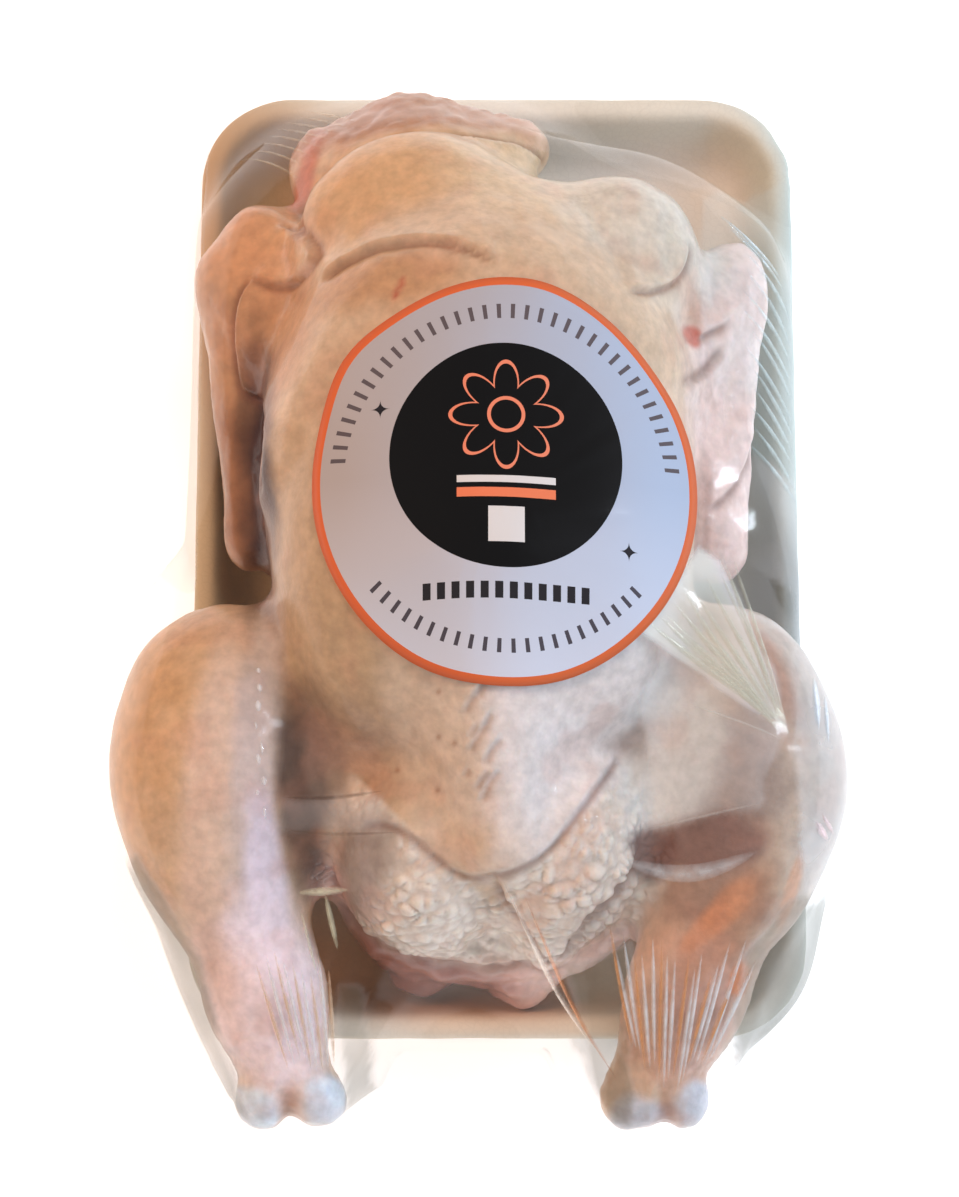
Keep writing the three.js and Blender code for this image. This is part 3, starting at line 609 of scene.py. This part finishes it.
# Expanded polystyrene, thermoformed: beads about 2 mm across pressed flat, so it is matt and creamy.
# The bead seams show as a fine net of shallow lines.
foam = new_material("thermoformed_polystyrene_foam", tray)
BEAD = 2.0
WEAR = 30
spot = add(foam, "TexCoord").outputs["Object"]
beads = add(foam, "TexVoronoi", {"feature": "DISTANCE_TO_EDGE"}, {"Vector": spot, "Scale": 1 / (BEAD * MM)})
seam = add(foam, "MapRange", inputs={"Value": beads, "From Max": 0.12})
age = add(foam, "TexNoise", inputs={"Vector": spot, "Scale": 1 / (WEAR * MM), "Detail": 3.0})
foam_tone = add(foam, "Attribute", {"attribute_name": "tone"})
foam_worn = add(foam, "MapRange", inputs={"Value": age, "To Min": 0.92, "To Max": 1.06})
foam_colour = add(foam, "VectorMath", {"operation": "SCALE"}, {0: foam_tone, "Scale": foam_worn})
foam_dim = add(foam, "MapRange", inputs={"Value": seam, "To Min": 0.96})
foam_seamed = add(foam, "VectorMath", {"operation": "SCALE"}, {0: foam_colour, "Scale": foam_dim})
foam_bump = add(foam, "Bump", inputs={"Height": seam, "Strength": 0.15, "Distance": 0.1 * MM})
foam_shader = add(foam, "BsdfPrincipled", inputs={
    "Base Color": foam_seamed, "Roughness": 0.62, "IOR": 1.5, "Normal": foam_bump})
add(foam, "OutputMaterial", inputs={"Surface": foam_shader})
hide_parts("foam_tray")
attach(tray, "root")

# The stretch film
# Clear food film pulled over bird and tray and welded under the tray's foot, so it spans every hollow.
# It is one sheet 0.02 mm thick in life, and only its outer face is made.

# The pack's middle, how near the film comes to what it wraps, and how far it is drawn in from the solid
FILM_EYE = Vector((-4, -14, 58))
FILM_CLEAR = 0.35
FILM_DRAW = 1.5

bm = merged("stretch_film")
inner = [f for f in bm.faces if f.normal.dot(f.calc_center_median() - FILM_EYE * MM) <= 0]
bmesh.ops.delete(bm, geom=inner, context="FACES")
bmesh.ops.join_triangles(bm, faces=bm.faces, angle_face_threshold=math.radians(60),
                         angle_shape_threshold=math.radians(80))
film = piece_from(bm, "stretch_film_sheet")
modify(film, "SUBSURF", levels=3, render_levels=3)
settle(film)


def surface_of(*pieces):
    """A search tree over the pieces' faces, in mm."""
    corners, faces = [], []
    for piece in pieces:
        start = len(corners)
        corners += [v.co / MM for v in piece.data.vertices]
        faces += [[start + i for i in f.vertices] for f in piece.data.polygons]
    return BVHTree.FromPolygons(corners, faces)


places, facing = points_of(film)
x, y, z = places.T
bearing = np.arctan2(y - FILM_EYE.y, x - FILM_EYE.x)
out = np.hypot(x - FILM_EYE.x, y - FILM_EYE.y)
# Tension folds: fine rays that run out to the hocks, and long soft ones where film bridges from bird to rim
toward_hocks = np.maximum(patch(places, (-52, -132, 52), (26, 26, 34)),
                          patch(places, (44, -132, 52), (34, 34, 34)))
rays = grain(np.column_stack([bearing * 130, out * 0.06, z * 0.06]), 3.2)
long_rays = grain(np.column_stack([bearing * 100, out * 0.05, z * 0.05]), 9.0, 5.0)
skirt = 1 - ramp(z, 26, 40)
tension = toward_hocks * 0.35 * rays + (0.25 + 0.35 * skirt) * 0.5 * long_rays
places = places + facing * (tension - FILM_DRAW)[:, None]
# Between the hocks the film is drawn in to the tray's end, and beside the left wing to the tray's edge.
# FREE takes the line out of reach on the legs, and PULL is the share of what is past it that goes.
TRAY_END = -132.0
TRAY_WAIST = -79.0
FREE = 40
PULL = 0.9
end_line = TRAY_END - FREE * ramp(x, 11, 23) - FREE * ramp(-x, 25, 37)
places[:, 1] -= PULL * np.minimum(places[:, 1] - end_line, 0)
waist_line = TRAY_WAIST - FREE * (1 - ramp(y, -34, -8))
places[:, 0] -= PULL * np.minimum(places[:, 0] - waist_line, 0)
inside = surface_of(bird, tray)
NEAR = 6.0
for i, point in enumerate(places):
    hit, normal, _, _ = inside.find_nearest(Vector(point), NEAR)
    if hit is None:
        continue
    gap = (Vector(point) - hit).dot(normal)
    if gap < FILM_CLEAR:
        places[i] += np.array(normal) * (FILM_CLEAR - gap)
place_points(film, places)
uneven = 2.2 * grain(places, 11, 2.0)


def veil(corners):
    """1 on film inside the outline whose corners run anticlockwise seen from above, 0 outside."""
    corners = np.array(corners, float)
    depth = np.full(len(places), 1e9)
    for start, end in zip(corners, np.roll(corners, -1, axis=0)):
        way = (end - start) / np.linalg.norm(end - start)
        off = places[:, :2] - start
        depth = np.minimum(depth, way[0] * off[:, 1] - way[1] * off[:, 0])
    return ramp(depth + uneven, -1, 1)


# Doubled or stretched film looks milky; some veils are painted reflection of the cool window and painted
# lavender window light, and film past the bird's ends gets painted shade, a dim olive: outline, strength, hex
WHITENED_AND_SHEEN, OLIVE_SHADE = "#F4F6F6", "#8A8C80"
VEILS = [([(34, -36), (72, -60), (70, -50), (56, -16), (50, -14)], 0.68, "#F4FAF2"),
         ([(52, -14), (72, -60), (76, -44), (66, -10)], 0.12, WHITENED_AND_SHEEN),
         ([(36, -50), (36, -84), (65, -78), (70, -58), (40, -40)], 0.26, WHITENED_AND_SHEEN),
         # Painted reflection of the cool window along the outer right thigh
         ([(76, -20), (73, -62), (100, -60), (98, -20)], 0.3, WHITENED_AND_SHEEN),
         ([(73, -62), (76, -98), (100, -90), (100, -60)], 0.34, WHITENED_AND_SHEEN),
         ([(34, -92), (66, -92), (66, -98), (36, -100)], 0.22, WHITENED_AND_SHEEN),
         # Painted reflection of the cool window over the right wing and beside it
         ([(54, 30), (60, 10), (84, 0), (84, 110), (52, 80)], 0.12, "#DDF2F2"),
         ([(50, -6), (84, -30), (84, 10), (60, 12)], 0.16, WHITENED_AND_SHEEN),
         # Painted lavender window light down the inner left leg
         ([(-66, -48), (-64, -110), (-55, -108), (-57, -46)], 0.08, "#F2ECFF"),
         ([(-54, -76), (-54, -84), (-28, -86), (-28, -76)], 0.14, WHITENED_AND_SHEEN),
         # Painted olive shade on the film that spans past the bird's ends
         ([(60, -112), (62, -150), (100, -112), (100, -88), (76, -98)], 0.45, OLIVE_SHADE),
         ([(-63, -152), (-74, -118), (-79, -104), (-90, -86), (-100, -92), (-100, -130)], 0.45, OLIVE_SHADE),
         ([(16, -116), (28, -154), (34, -154), (32, -112)], 0.4, OLIVE_SHADE),
         ([(-40, -120), (-38, -154), (-30, -148), (-34, -120)], 0.35, OLIVE_SHADE)]
mottled_veil = 0.75 + 0.5 * grain(places, 16, 5.0)
milk_sheen_and_shade = np.zeros(len(places))
veil_tint = np.tile(linear(WHITENED_AND_SHEEN), (len(places), 1))
for corners, strength, hex_code in VEILS:
    reach = veil(corners)
    if hex_code != OLIVE_SHADE:
        reach *= ramp(z, 20, 30) * ramp(facing[:, 2], 0.0, 0.45)
    milk_sheen_and_shade = np.maximum(milk_sheen_and_shade, strength * mottled_veil * reach)
    veil_tint = airbrush(veil_tint, hex_code, reach)
milk_sheen_and_shade = np.clip(milk_sheen_and_shade + 0.05 * rays * toward_hocks, 0, 1)
store(film, "milk_sheen_and_shade", milk_sheen_and_shade)
store(film, "tint", veil_tint)

# Polyethylene food film, blown and stretched: clear straight on, with a sheen that grows where it slants.
# It whitens a little where it is stretched or doubled, and the same veil carries painted reflections and
# painted olive shade.
clear = new_material("stretched_polyethylene_film", film)
RIPPLE = 16
SHEEN_FACING, SHEEN_SLANTED, SHEEN_RISE = 0.035, 0.35, 5.0
spot = add(clear, "TexCoord").outputs["Object"]
veil_cover_node = add(clear, "Attribute", {"attribute_name": "milk_sheen_and_shade"})
ripple = add(clear, "TexNoise", inputs={"Vector": spot, "Scale": 1 / (RIPPLE * MM), "Detail": 2.0,
                                        "Roughness": 0.6})
film_bump = add(clear, "Bump", inputs={"Height": ripple, "Strength": 0.3, "Distance": 1.0 * MM})
slant = add(clear, "LayerWeight", inputs={"Blend": 0.5, "Normal": film_bump})
steep = add(clear, "Math", {"operation": "POWER"}, {0: slant.outputs["Facing"], 1: SHEEN_RISE})
sheen = add(clear, "Math", {"operation": "MULTIPLY_ADD"}, {0: steep, 1: SHEEN_SLANTED, 2: SHEEN_FACING})
cover = add(clear, "Math", {"operation": "ADD", "use_clamp": True}, {0: sheen, 1: veil_cover_node.outputs["Fac"]})
mirror = add(clear, "Math", {"operation": "DIVIDE"}, {0: sheen, 1: cover})
veil_node = add(clear, "Attribute", {"attribute_name": "tint"})
film_shader = add(clear, "BsdfPrincipled", inputs={
    "Base Color": veil_node, "Metallic": mirror, "Roughness": 0.1, "IOR": 1.5, "Normal": film_bump})
see_through = add(clear, "BsdfTransparent")
film_mix = add(clear, "MixShader", inputs={"Fac": cover, 1: see_through, 2: film_shader})
add(clear, "OutputMaterial", inputs={"Surface": film_mix})
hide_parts("stretch_film")
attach(film, "root")

# The folds in the film
# Sharp little pleats where the film is drawn tight: fans at the hocks, a wedge on one thigh, rim rows.
# They are the same film doubled on itself, with painted highlights along their crests: white glints, warm
# orange painted reflections and cyan ones on the right rim; a few are dark.

over_film = surface_of(film)


def down_on_film(px, py):
    """Where the film lies under a point seen from above, in mm, and the way it faces."""
    return over_film.ray_cast(Vector((px, py, 200)), Vector((0, 0, -1)))[:2]


PLEAT_STEPS = 14
PLEAT_CLEAR = 0.08
pleats = []


def pleat(start, end, width, lift, hex_code, cover, bow=0.0):
    """One pleat from start to end, seen from above: a low ridge that tapers to nothing at both ends."""
    bm = bmesh.new()
    strength = bm.verts.layers.float.new("cover")
    colour = bm.verts.layers.float_color.new("tint")
    rows = bmesh.ops.create_grid(bm, x_segments=PLEAT_STEPS, y_segments=2, size=0.5)["verts"]
    start, end = np.array(start, float), np.array(end, float)
    way = (end - start) / np.linalg.norm(end - start)
    across = np.array([-way[1], way[0]])
    for vert in rows:
        t = vert.co.x + 0.5
        taper = math.sin(math.pi * min(max(t, 0.0), 1.0)) ** 0.6
        side = vert.co.y * 2
        spot = start + (end - start) * t + across * (side * width / 2 * taper + bow * math.sin(math.pi * t))
        hit, normal = down_on_film(*spot)
        if hit is None:
            bm.free()
            return
        crest = 1 - abs(side)
        vert.co = (hit + normal * (PLEAT_CLEAR + lift * crest * taper)) * MM
        vert[strength] = cover * taper * (0.25 + 0.75 * crest)
        vert[colour] = (*linear(hex_code), 1)
    pleats.append(piece_from(bm, "pleat"))


shake = np.random.default_rng(7)
# The fan over the right hock and the smaller one over the left
RIGHT_FAN, LEFT_FAN, WEDGE, RIM_ROWS, CORNER_ROWS, LEG_GLINTS = 18, 9, 10, 11, 8, 9
for i in range(RIGHT_FAN):
    t = i / (RIGHT_FAN - 1)
    top = (27 + 37 * t + shake.uniform(-0.8, 0.8), -110 - 4 * math.sin(t * 3) + shake.uniform(-4, 4))
    foot = (33.5 + 19 * t, -137 - 6 * math.sin(t * 3) + shake.uniform(-3, 3))
    pleat(top, foot, 1.2, 0.8, "#FFFFFF" if i % 3 else "#F4AE74", 1.0)
for i in range(LEFT_FAN):
    t = i / (LEFT_FAN - 1)
    pleat((-60 + 18 * t, -114 - 3 * t + shake.uniform(-3, 3)), (-52 + 11 * t, -139 + shake.uniform(-3, 3)),
          1.2, 0.8, "#FFFFFF" if i % 2 else "#F6D2B0", 1.0)
# Two long ones from the belly to the right hock
pleat((1, -97), (27, -138), 1.3, 0.7, "#FFF4E8", 0.9, bow=-1.5)
pleat((6, -100), (30, -143), 1.0, 0.6, "#F2A878", 0.8, bow=-1.0)
# The wedge on the right thigh, drawn to one point
WEDGE_POINT = np.array((71.2, -60.2))
for i in range(WEDGE):
    t = i / (WEDGE - 1)
    root = np.array((35 + 25 * t, -35 + 21 * t))
    pleat(root + shake.uniform(-2, 2, 2), WEDGE_POINT + shake.uniform(-1.2, 1.2, 2), 2.2 - 0.8 * t, 0.6,
          "#F2F5E2", 0.7, bow=shake.uniform(-1, 1))
# Slanting rows of painted cyan glints down the right rim, two bright ones at its far end, faint ones over the
# far-left corner
for i in range(RIM_ROWS):
    low = 66 - i * 5.2
    pleat((64 + shake.uniform(-2, 1), low + 1), (77.5, low - 11 + shake.uniform(-2, 2)), 1.3, 0.7,
          "#E0F6FA", 0.55)
pleat((56.6, 76.3), (74.2, 64.4), 1.6, 0.8, "#E6FBFF", 0.9)
pleat((58.6, 73.6), (75.2, 61.8), 1.1, 0.7, "#E6FBFF", 0.75)
for i in range(CORNER_ROWS):
    pleat((-68 + i * 2.2, 102 + i * 2.6), (-50 + i * 2.0, 84 + i * 3.0), 0.8, 0.4, "#E8D8B8", 0.3)
# Window glints: a broken line down the inner edge of the left leg, pairs of strokes on the right thigh
for i in range(LEG_GLINTS):
    low = -44 - i * 4.4 + shake.uniform(-1.6, 1.6)
    across = -60.4 + 0.25 * i + shake.uniform(-1.2, 1.2)
    pleat((across, low), (across + 0.4, low - shake.uniform(1.4, 4.0)), shake.uniform(0.7, 1.6), 0.3,
          "#FFFFFF", 0.95)
pleat((79.2, -44), (79.8, -58), 2.2, 0.4, "#EAF6FF", 1.0)
pleat((82.0, -48), (82.4, -61), 1.3, 0.4, "#E4F4FF", 0.85)
pleat((78.6, -80.5), (82.4, -84.5), 2.2, 0.4, "#FFE6EA", 0.8)
pleat((80.4, -78.5), (84.0, -82.5), 1.4, 0.4, "#FFE6EA", 0.7)
# The pale crossed glint inside the left leg, flat folds across both groins, the curved band on the right
pleat((-49.5, -99), (-36.5, -98.6), 2.0, 0.6, "#F2F0D0", 0.95)
pleat((-42.6, -99.0), (-39.6, -112.4), 1.5, 0.6, "#F2F0D0", 0.9)
pleat((-48.6, -103.0), (-44.6, -119), 0.8, 0.5, "#F2F0D0", 0.7)
pleat((-53, -76.2), (-28, -75.0), 1.2, 0.3, "#5A463C", 0.6, bow=-0.6)
pleat((-53, -84.0), (-24, -85.3), 1.0, 0.3, "#7A6658", 0.45, bow=-0.6)
pleat((29, -91.4), (64, -89.0), 4.2, 0.3, "#F0F2F0", 0.6, bow=-4.5)
pleat((35, -84.5), (65.5, -77.5), 0.9, 0.2, "#E4DED6", 0.45)
pleat((47.5, -53.5), (72, -62.5), 0.8, 0.25, "#F0ECE4", 0.6)

bm = bmesh.new()
for part in pleats:
    bm.from_mesh(part.data)
    bpy.data.objects.remove(part)
film_pleats = piece_from(bm, "film_pleats")

# The same film, doubled, with a painted highlight as a bright thread along each crest, broken into streaks.
doubled = new_material("film_pleat_with_painted_highlight", film_pleats)
cover_node = add(doubled, "Attribute", {"attribute_name": "cover"})
tint_node = add(doubled, "Attribute", {"attribute_name": "tint"})
STREAK = 3
streak = add(doubled, "TexNoise", inputs={"Vector": add(doubled, "TexCoord").outputs["Object"],
                                          "Scale": 1 / (STREAK * MM), "Detail": 2.0})
broken = add(doubled, "MapRange", inputs={
    "Value": streak, "From Min": 0.3, "From Max": 0.6, "To Min": 0.55})
streaked = add(doubled, "Math", {"operation": "MULTIPLY"}, {0: cover_node.outputs["Fac"], 1: broken})
pleat_shader = add(doubled, "BsdfPrincipled", inputs={
    "Base Color": tint_node, "Metallic": 0.4, "Roughness": 0.15, "IOR": 1.5})
pleat_mix = add(doubled, "MixShader", inputs={
    "Fac": streaked, 1: add(doubled, "BsdfTransparent"), 2: pleat_shader})
add(doubled, "OutputMaterial", inputs={"Surface": pleat_mix})
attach(film_pleats, "root")

# The sticker
# A round label of coated paper, pressed on the film over the breast, a little out of round where it wraps.
# Printed with a coloured border, a dark disc and plain marks, under a clear varnish.

STICKER_CENTRE = (1.9, -1.0)
STICKER_HALF_X = 47.6
STICKER_HALF_Y = 50.6
STICKER_GAP = 0.25
STICKER_THICK = 0.18
STICKER_SPOKES = 180
STICKER_RINGS = 26
# Where the outline leaves its oval: how much, at which angle in degrees, how wide
STICKER_BULGES = [(0.04, 143, 14), (-0.025, 48, 24)]


def sticker_reach(angle):
    """How far the label reaches at an angle, beside its plain oval."""
    return 1 + sum(much * math.exp(-((math.degrees(angle) - at) / wide) ** 2)
                   for much, at, wide in STICKER_BULGES)


bm = bmesh.new()
bmesh.ops.create_circle(bm, segments=STICKER_SPOKES, radius=1.0, cap_ends=True)
bmesh.ops.poke(bm, faces=bm.faces)
spokes = [e for e in bm.edges if min(v.co.length for v in e.verts) < 0.5]
bmesh.ops.subdivide_edges(bm, edges=spokes, cuts=STICKER_RINGS)
rim_distance = bm.verts.layers.float.new("rim")
print_map = bm.loops.layers.uv.new("print")
for vert in bm.verts:
    radius = vert.co.xy.length
    angle = math.atan2(vert.co.y, vert.co.x) % (2 * math.pi)
    grow = sticker_reach(angle)
    px = STICKER_CENTRE[0] + STICKER_HALF_X * grow * vert.co.x
    py = STICKER_CENTRE[1] + STICKER_HALF_Y * grow * vert.co.y
    hit, normal = down_on_film(px, py)
    vert[rim_distance] = (1 - radius) * math.hypot(STICKER_HALF_X * math.cos(angle),
                                                   STICKER_HALF_Y * math.sin(angle))
    vert.co = (hit + normal * STICKER_GAP) * MM
for face in bm.faces:
    for loop in face.loops:
        loop[print_map].uv = loop.vert.co.xy / MM - Vector(STICKER_CENTRE)
bmesh.ops.smooth_vert(bm, verts=[v for v in bm.verts if not v.is_boundary], factor=0.5, use_axis_z=True)
sticker = piece_from(bm, "round_label")
modify(sticker, "SOLIDIFY", thickness=STICKER_THICK * MM, offset=1.0)
settle(sticker)

# Coated paper, printed and varnished: smooth and bright, with a soft broad shine under the film.
# The print is flat fields of colour: a ground, border, disc and plain marks; the ground's change from warm at
# the left to cool at the right and its paling towards the bottom are painted light.
label = new_material("varnished_printed_paper", sticker)
BORDER = 2.1
DISC_RADIUS = 28.5
DISC_CENTRE = (0.0, 4.6)
TICK_ARC = 41.5
TICKS_ROUND = 76
BAR_STEP = 3.5
BAR_ROW = -29.0
STARS = [(-30.8, 17.2), (30.0, -17.4)]
STAR_ARM = 1.6
PETALS = 8
ROSETTE_UP = 10.0
PETAL_MIDDLE, PETAL_SWING = 7.6, 6.0
RING_RADIUS = 4.2
ORANGE, PALE = "#E8896A", "#DAD8D6"
uv = add(label, "UVMap", {"uv_map": "print"}).outputs["UV"]
rim_node = add(label, "Attribute", {"attribute_name": "rim"})


def maths(operation, first, second=0.0):
    """One sum on the label's print."""
    return add(label, "Math", {"operation": operation}, {0: first, 1: second})


def print_over(ground, hex_code, mask):
    """Prints one colour over the ground where mask is 1."""
    return add(label, "Mix", {"data_type": "RGBA"},
               {"Factor": mask, "A": ground, "B": (*linear(hex_code), 1)}).outputs["Result"]


def from_point(px, py):
    """Distance in mm from a point of the label, and the two offsets."""
    off = add(label, "VectorMath", {"operation": "SUBTRACT"}, {0: uv, 1: (px, py, 0)})
    split = add(label, "SeparateXYZ", inputs={0: off})
    length = add(label, "VectorMath", {"operation": "LENGTH"}, {0: off})
    return length.outputs["Value"], split.outputs["X"], split.outputs["Y"]


def within(value, limit):
    """1 where value is under limit."""
    return maths("LESS_THAN", value, limit)


def beside(value, middle, half_width):
    """1 where value is less than half_width from middle."""
    return within(maths("ABSOLUTE", maths("SUBTRACT", value, middle)), half_width)


def both(first, second):
    """1 where both masks are 1."""
    return maths("MULTIPLY", first, second)


centre_distance, centre_x, centre_y = from_point(0, 0)
# Painted light on the print's ground: cooler to the right, paler towards the bottom
rightward = add(label, "MapRange", inputs={"Value": centre_x, "From Min": -40.0, "From Max": 40.0})
ground = print_over((*linear("#B2ABAA"), 1), "#AEBBD0", rightward)
lower_part = add(label, "MapRange", inputs={"Value": centre_y, "From Min": 0.0, "From Max": -46.0,
                                            "To Max": 0.8})
ground = print_over(ground, "#D6DCEA", lower_part)
angle = maths("ARCTAN2", centre_y, centre_x)


def ticks(ground, half_height, low, high, hex_code):
    """A row of short plain ticks along the label's arc, from low to high degrees."""
    turn = maths("FRACT", maths("MULTIPLY", angle, TICKS_ROUND / (2 * math.pi)))
    shown = both(beside(turn, 0.5, 0.15), beside(centre_distance, TICK_ARC, half_height))
    return print_over(ground, hex_code, both(shown, beside(angle, math.radians((low + high) / 2),
                                                           math.radians((high - low) / 2))))


ground = ticks(ground, 1.9, 4.74, 175.26, "#5E565A")
ground = ticks(ground, 1.6, -142.1, -37.9, "#4E4A52")
# A row of thick bars; the shift by whole steps keeps the sum above 0
bar_turn = maths("FRACT", maths("DIVIDE", maths("ADD", centre_x, 20 * BAR_STEP), BAR_STEP))
bar_field = both(beside(centre_x, 0, 6 * BAR_STEP), beside(centre_y, BAR_ROW, 1.9))
ground = print_over(ground, "#2A282C", both(beside(bar_turn, 0.5, 0.28), bar_field))
disc_distance, disc_x, disc_y = from_point(*DISC_CENTRE)
ground = print_over(ground, "#0D0C0D", within(disc_distance, DISC_RADIUS))
for px, py in STARS:
    _, star_x, star_y = from_point(px, py)
    arms = maths("ADD", maths("SQRT", maths("ABSOLUTE", star_x)), maths("SQRT", maths("ABSOLUTE", star_y)))
    ground = print_over(ground, "#262328", within(arms, STAR_ARM))
# A plain rosette of eight petals with a ring, then two plain bars and a plain square, in the disc
rosette_distance, rosette_x, rosette_y = from_point(DISC_CENTRE[0], DISC_CENTRE[1] + ROSETTE_UP)
petal_turn = maths("MULTIPLY", maths("ARCTAN2", rosette_y, rosette_x), PETALS / 2)
petal_edge = maths("ADD", maths("MULTIPLY", maths("ABSOLUTE", maths("COSINE", petal_turn)), PETAL_SWING),
                   PETAL_MIDDLE)
ground = print_over(ground, ORANGE, beside(rosette_distance, petal_edge, 0.5))
ground = print_over(ground, ORANGE, beside(rosette_distance, RING_RADIUS, 0.45))
for hex_code, low, half_width, half_height in [(PALE, -6.6, 12.0, 0.9), ("#E8805A", -10.0, 12.0, 1.2),
                                               (PALE, -18.0, 4.4, 4.4)]:
    plain = both(beside(disc_x, 0, half_width), beside(disc_y, low, half_height))
    ground = print_over(ground, hex_code, plain)
border = within(rim_node.outputs["Fac"], BORDER)
ground = print_over(ground, "#D96A3C", border)
paper_grain = add(label, "TexNoise", inputs={"Vector": uv, "Scale": 0.6, "Detail": 3.0})
label_bump = add(label, "Bump", inputs={"Height": paper_grain, "Strength": 0.1, "Distance": 0.1 * MM})
label_shader = add(label, "BsdfPrincipled", inputs={
    "Base Color": ground, "Roughness": 0.45, "IOR": 1.3, "Coat Weight": 0.1, "Coat Roughness": 0.15,
    "Normal": label_bump})
add(label, "OutputMaterial", inputs={"Surface": label_shader})
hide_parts("sticker")
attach(sticker, "root")

# The floor
# A plain pale table under the tray, matt and clean.
# Its paint is lit a little from within, so that the pack stands on white as in a studio sweep.

bm = bmesh.new()
FLOOR_HALF = 1.5
bmesh.ops.create_grid(bm, x_segments=8, y_segments=8, size=FLOOR_HALF)
floor = piece_from(bm, "floor")
matt = new_material("matt_painted_board", floor)
spot = add(matt, "TexCoord").outputs["Object"]
paint = add(matt, "Mix", {"data_type": "RGBA"},
            {"Factor": add(matt, "TexNoise", inputs={"Vector": spot, "Scale": 8.0}),
             "A": (*linear("#F2F2F2"), 1), "B": (*linear("#EFEFEF"), 1)})
floor_shader = add(matt, "BsdfPrincipled", inputs={
    "Base Color": paint.outputs["Result"], "Roughness": 0.9, "Emission Color": paint.outputs["Result"],
    "Emission Strength": 0.7})
add(matt, "OutputMaterial", inputs={"Surface": floor_shader})

# The light and the camera
# A pale room with soft lamps that no gloss shows: warm at the left, a cool window at the right, two fills.
# The film mirrors only a narrow gap of the window, and the camera looks down, 13 degrees off the vertical.

scene = bpy.context.scene
world = bpy.data.worlds.new("pale_room")
scene.world = world
world.use_nodes = True
room = world.node_tree.nodes["Background"]
room.inputs["Color"].default_value = (*linear("#F4F5F7"), 1)
room.inputs["Strength"].default_value = 0.36
scene.view_settings.view_transform = "Standard"
for key, value in {"max_bounces": 6, "diffuse_bounces": 2, "glossy_bounces": 3,
                   "caustics_reflective": False, "caustics_refractive": False}.items():
    setattr(scene.cycles, key, value)

LOOK_AT = Vector((-4.6, -17.65, 50)) * MM


def panel(name, place, size, hex_code, power, mirrored=True):
    """A flat lamp at place in metres that faces the bird; mirrored is whether glossy surfaces show it."""
    lamp = bpy.data.lights.new(name, "AREA")
    lamp.shape = "RECTANGLE"
    lamp.size, lamp.size_y = size
    lamp.energy = power
    lamp.color = linear(hex_code)
    holder = bpy.data.objects.new(name, lamp)
    scene.collection.objects.link(holder)
    holder.location = place
    holder.visible_glossy = mirrored
    holder.rotation_euler = (Vector(place) - LOOK_AT).to_track_quat("Z", "Y").to_euler()


panel("warm_panel", (-0.8, 0.2, 1.1), (0.8, 0.8), "#FFB87C", 8, mirrored=False)
panel("cool_window", (1.1, 0.0, 0.7), (0.4, 0.8), "#C8E0FF", 8, mirrored=False)
panel("window_gap", (0.9, 0.12, 0.61), (0.035, 0.22), "#E8F2FF", 0.8)
panel("overhead", (0.2, 0.5, 1.4), (0.5, 0.3), "#FFFAF4", 4.5, mirrored=False)
panel("front_fill", (0.1, -1.2, 0.9), (0.8, 0.4), "#EEF2FF", 2.4, mirrored=False)

PHOTO_HEIGHT = 1197
MM_PER_PIXEL = 0.26
CAMERA_DISTANCE = 0.9
CAMERA_TILT = math.radians(13)
SENSOR = 36
lens = bpy.data.cameras.new("camera")
lens.sensor_width = SENSOR
lens.lens = SENSOR * CAMERA_DISTANCE / (PHOTO_HEIGHT * MM_PER_PIXEL * MM)
camera = bpy.data.objects.new("camera", lens)
scene.collection.objects.link(camera)
camera.location = LOOK_AT + CAMERA_DISTANCE * Vector((0, -math.sin(CAMERA_TILT), math.cos(CAMERA_TILT)))
camera.rotation_euler = (CAMERA_TILT, 0, 0)
bpy.context.scene.camera = camera
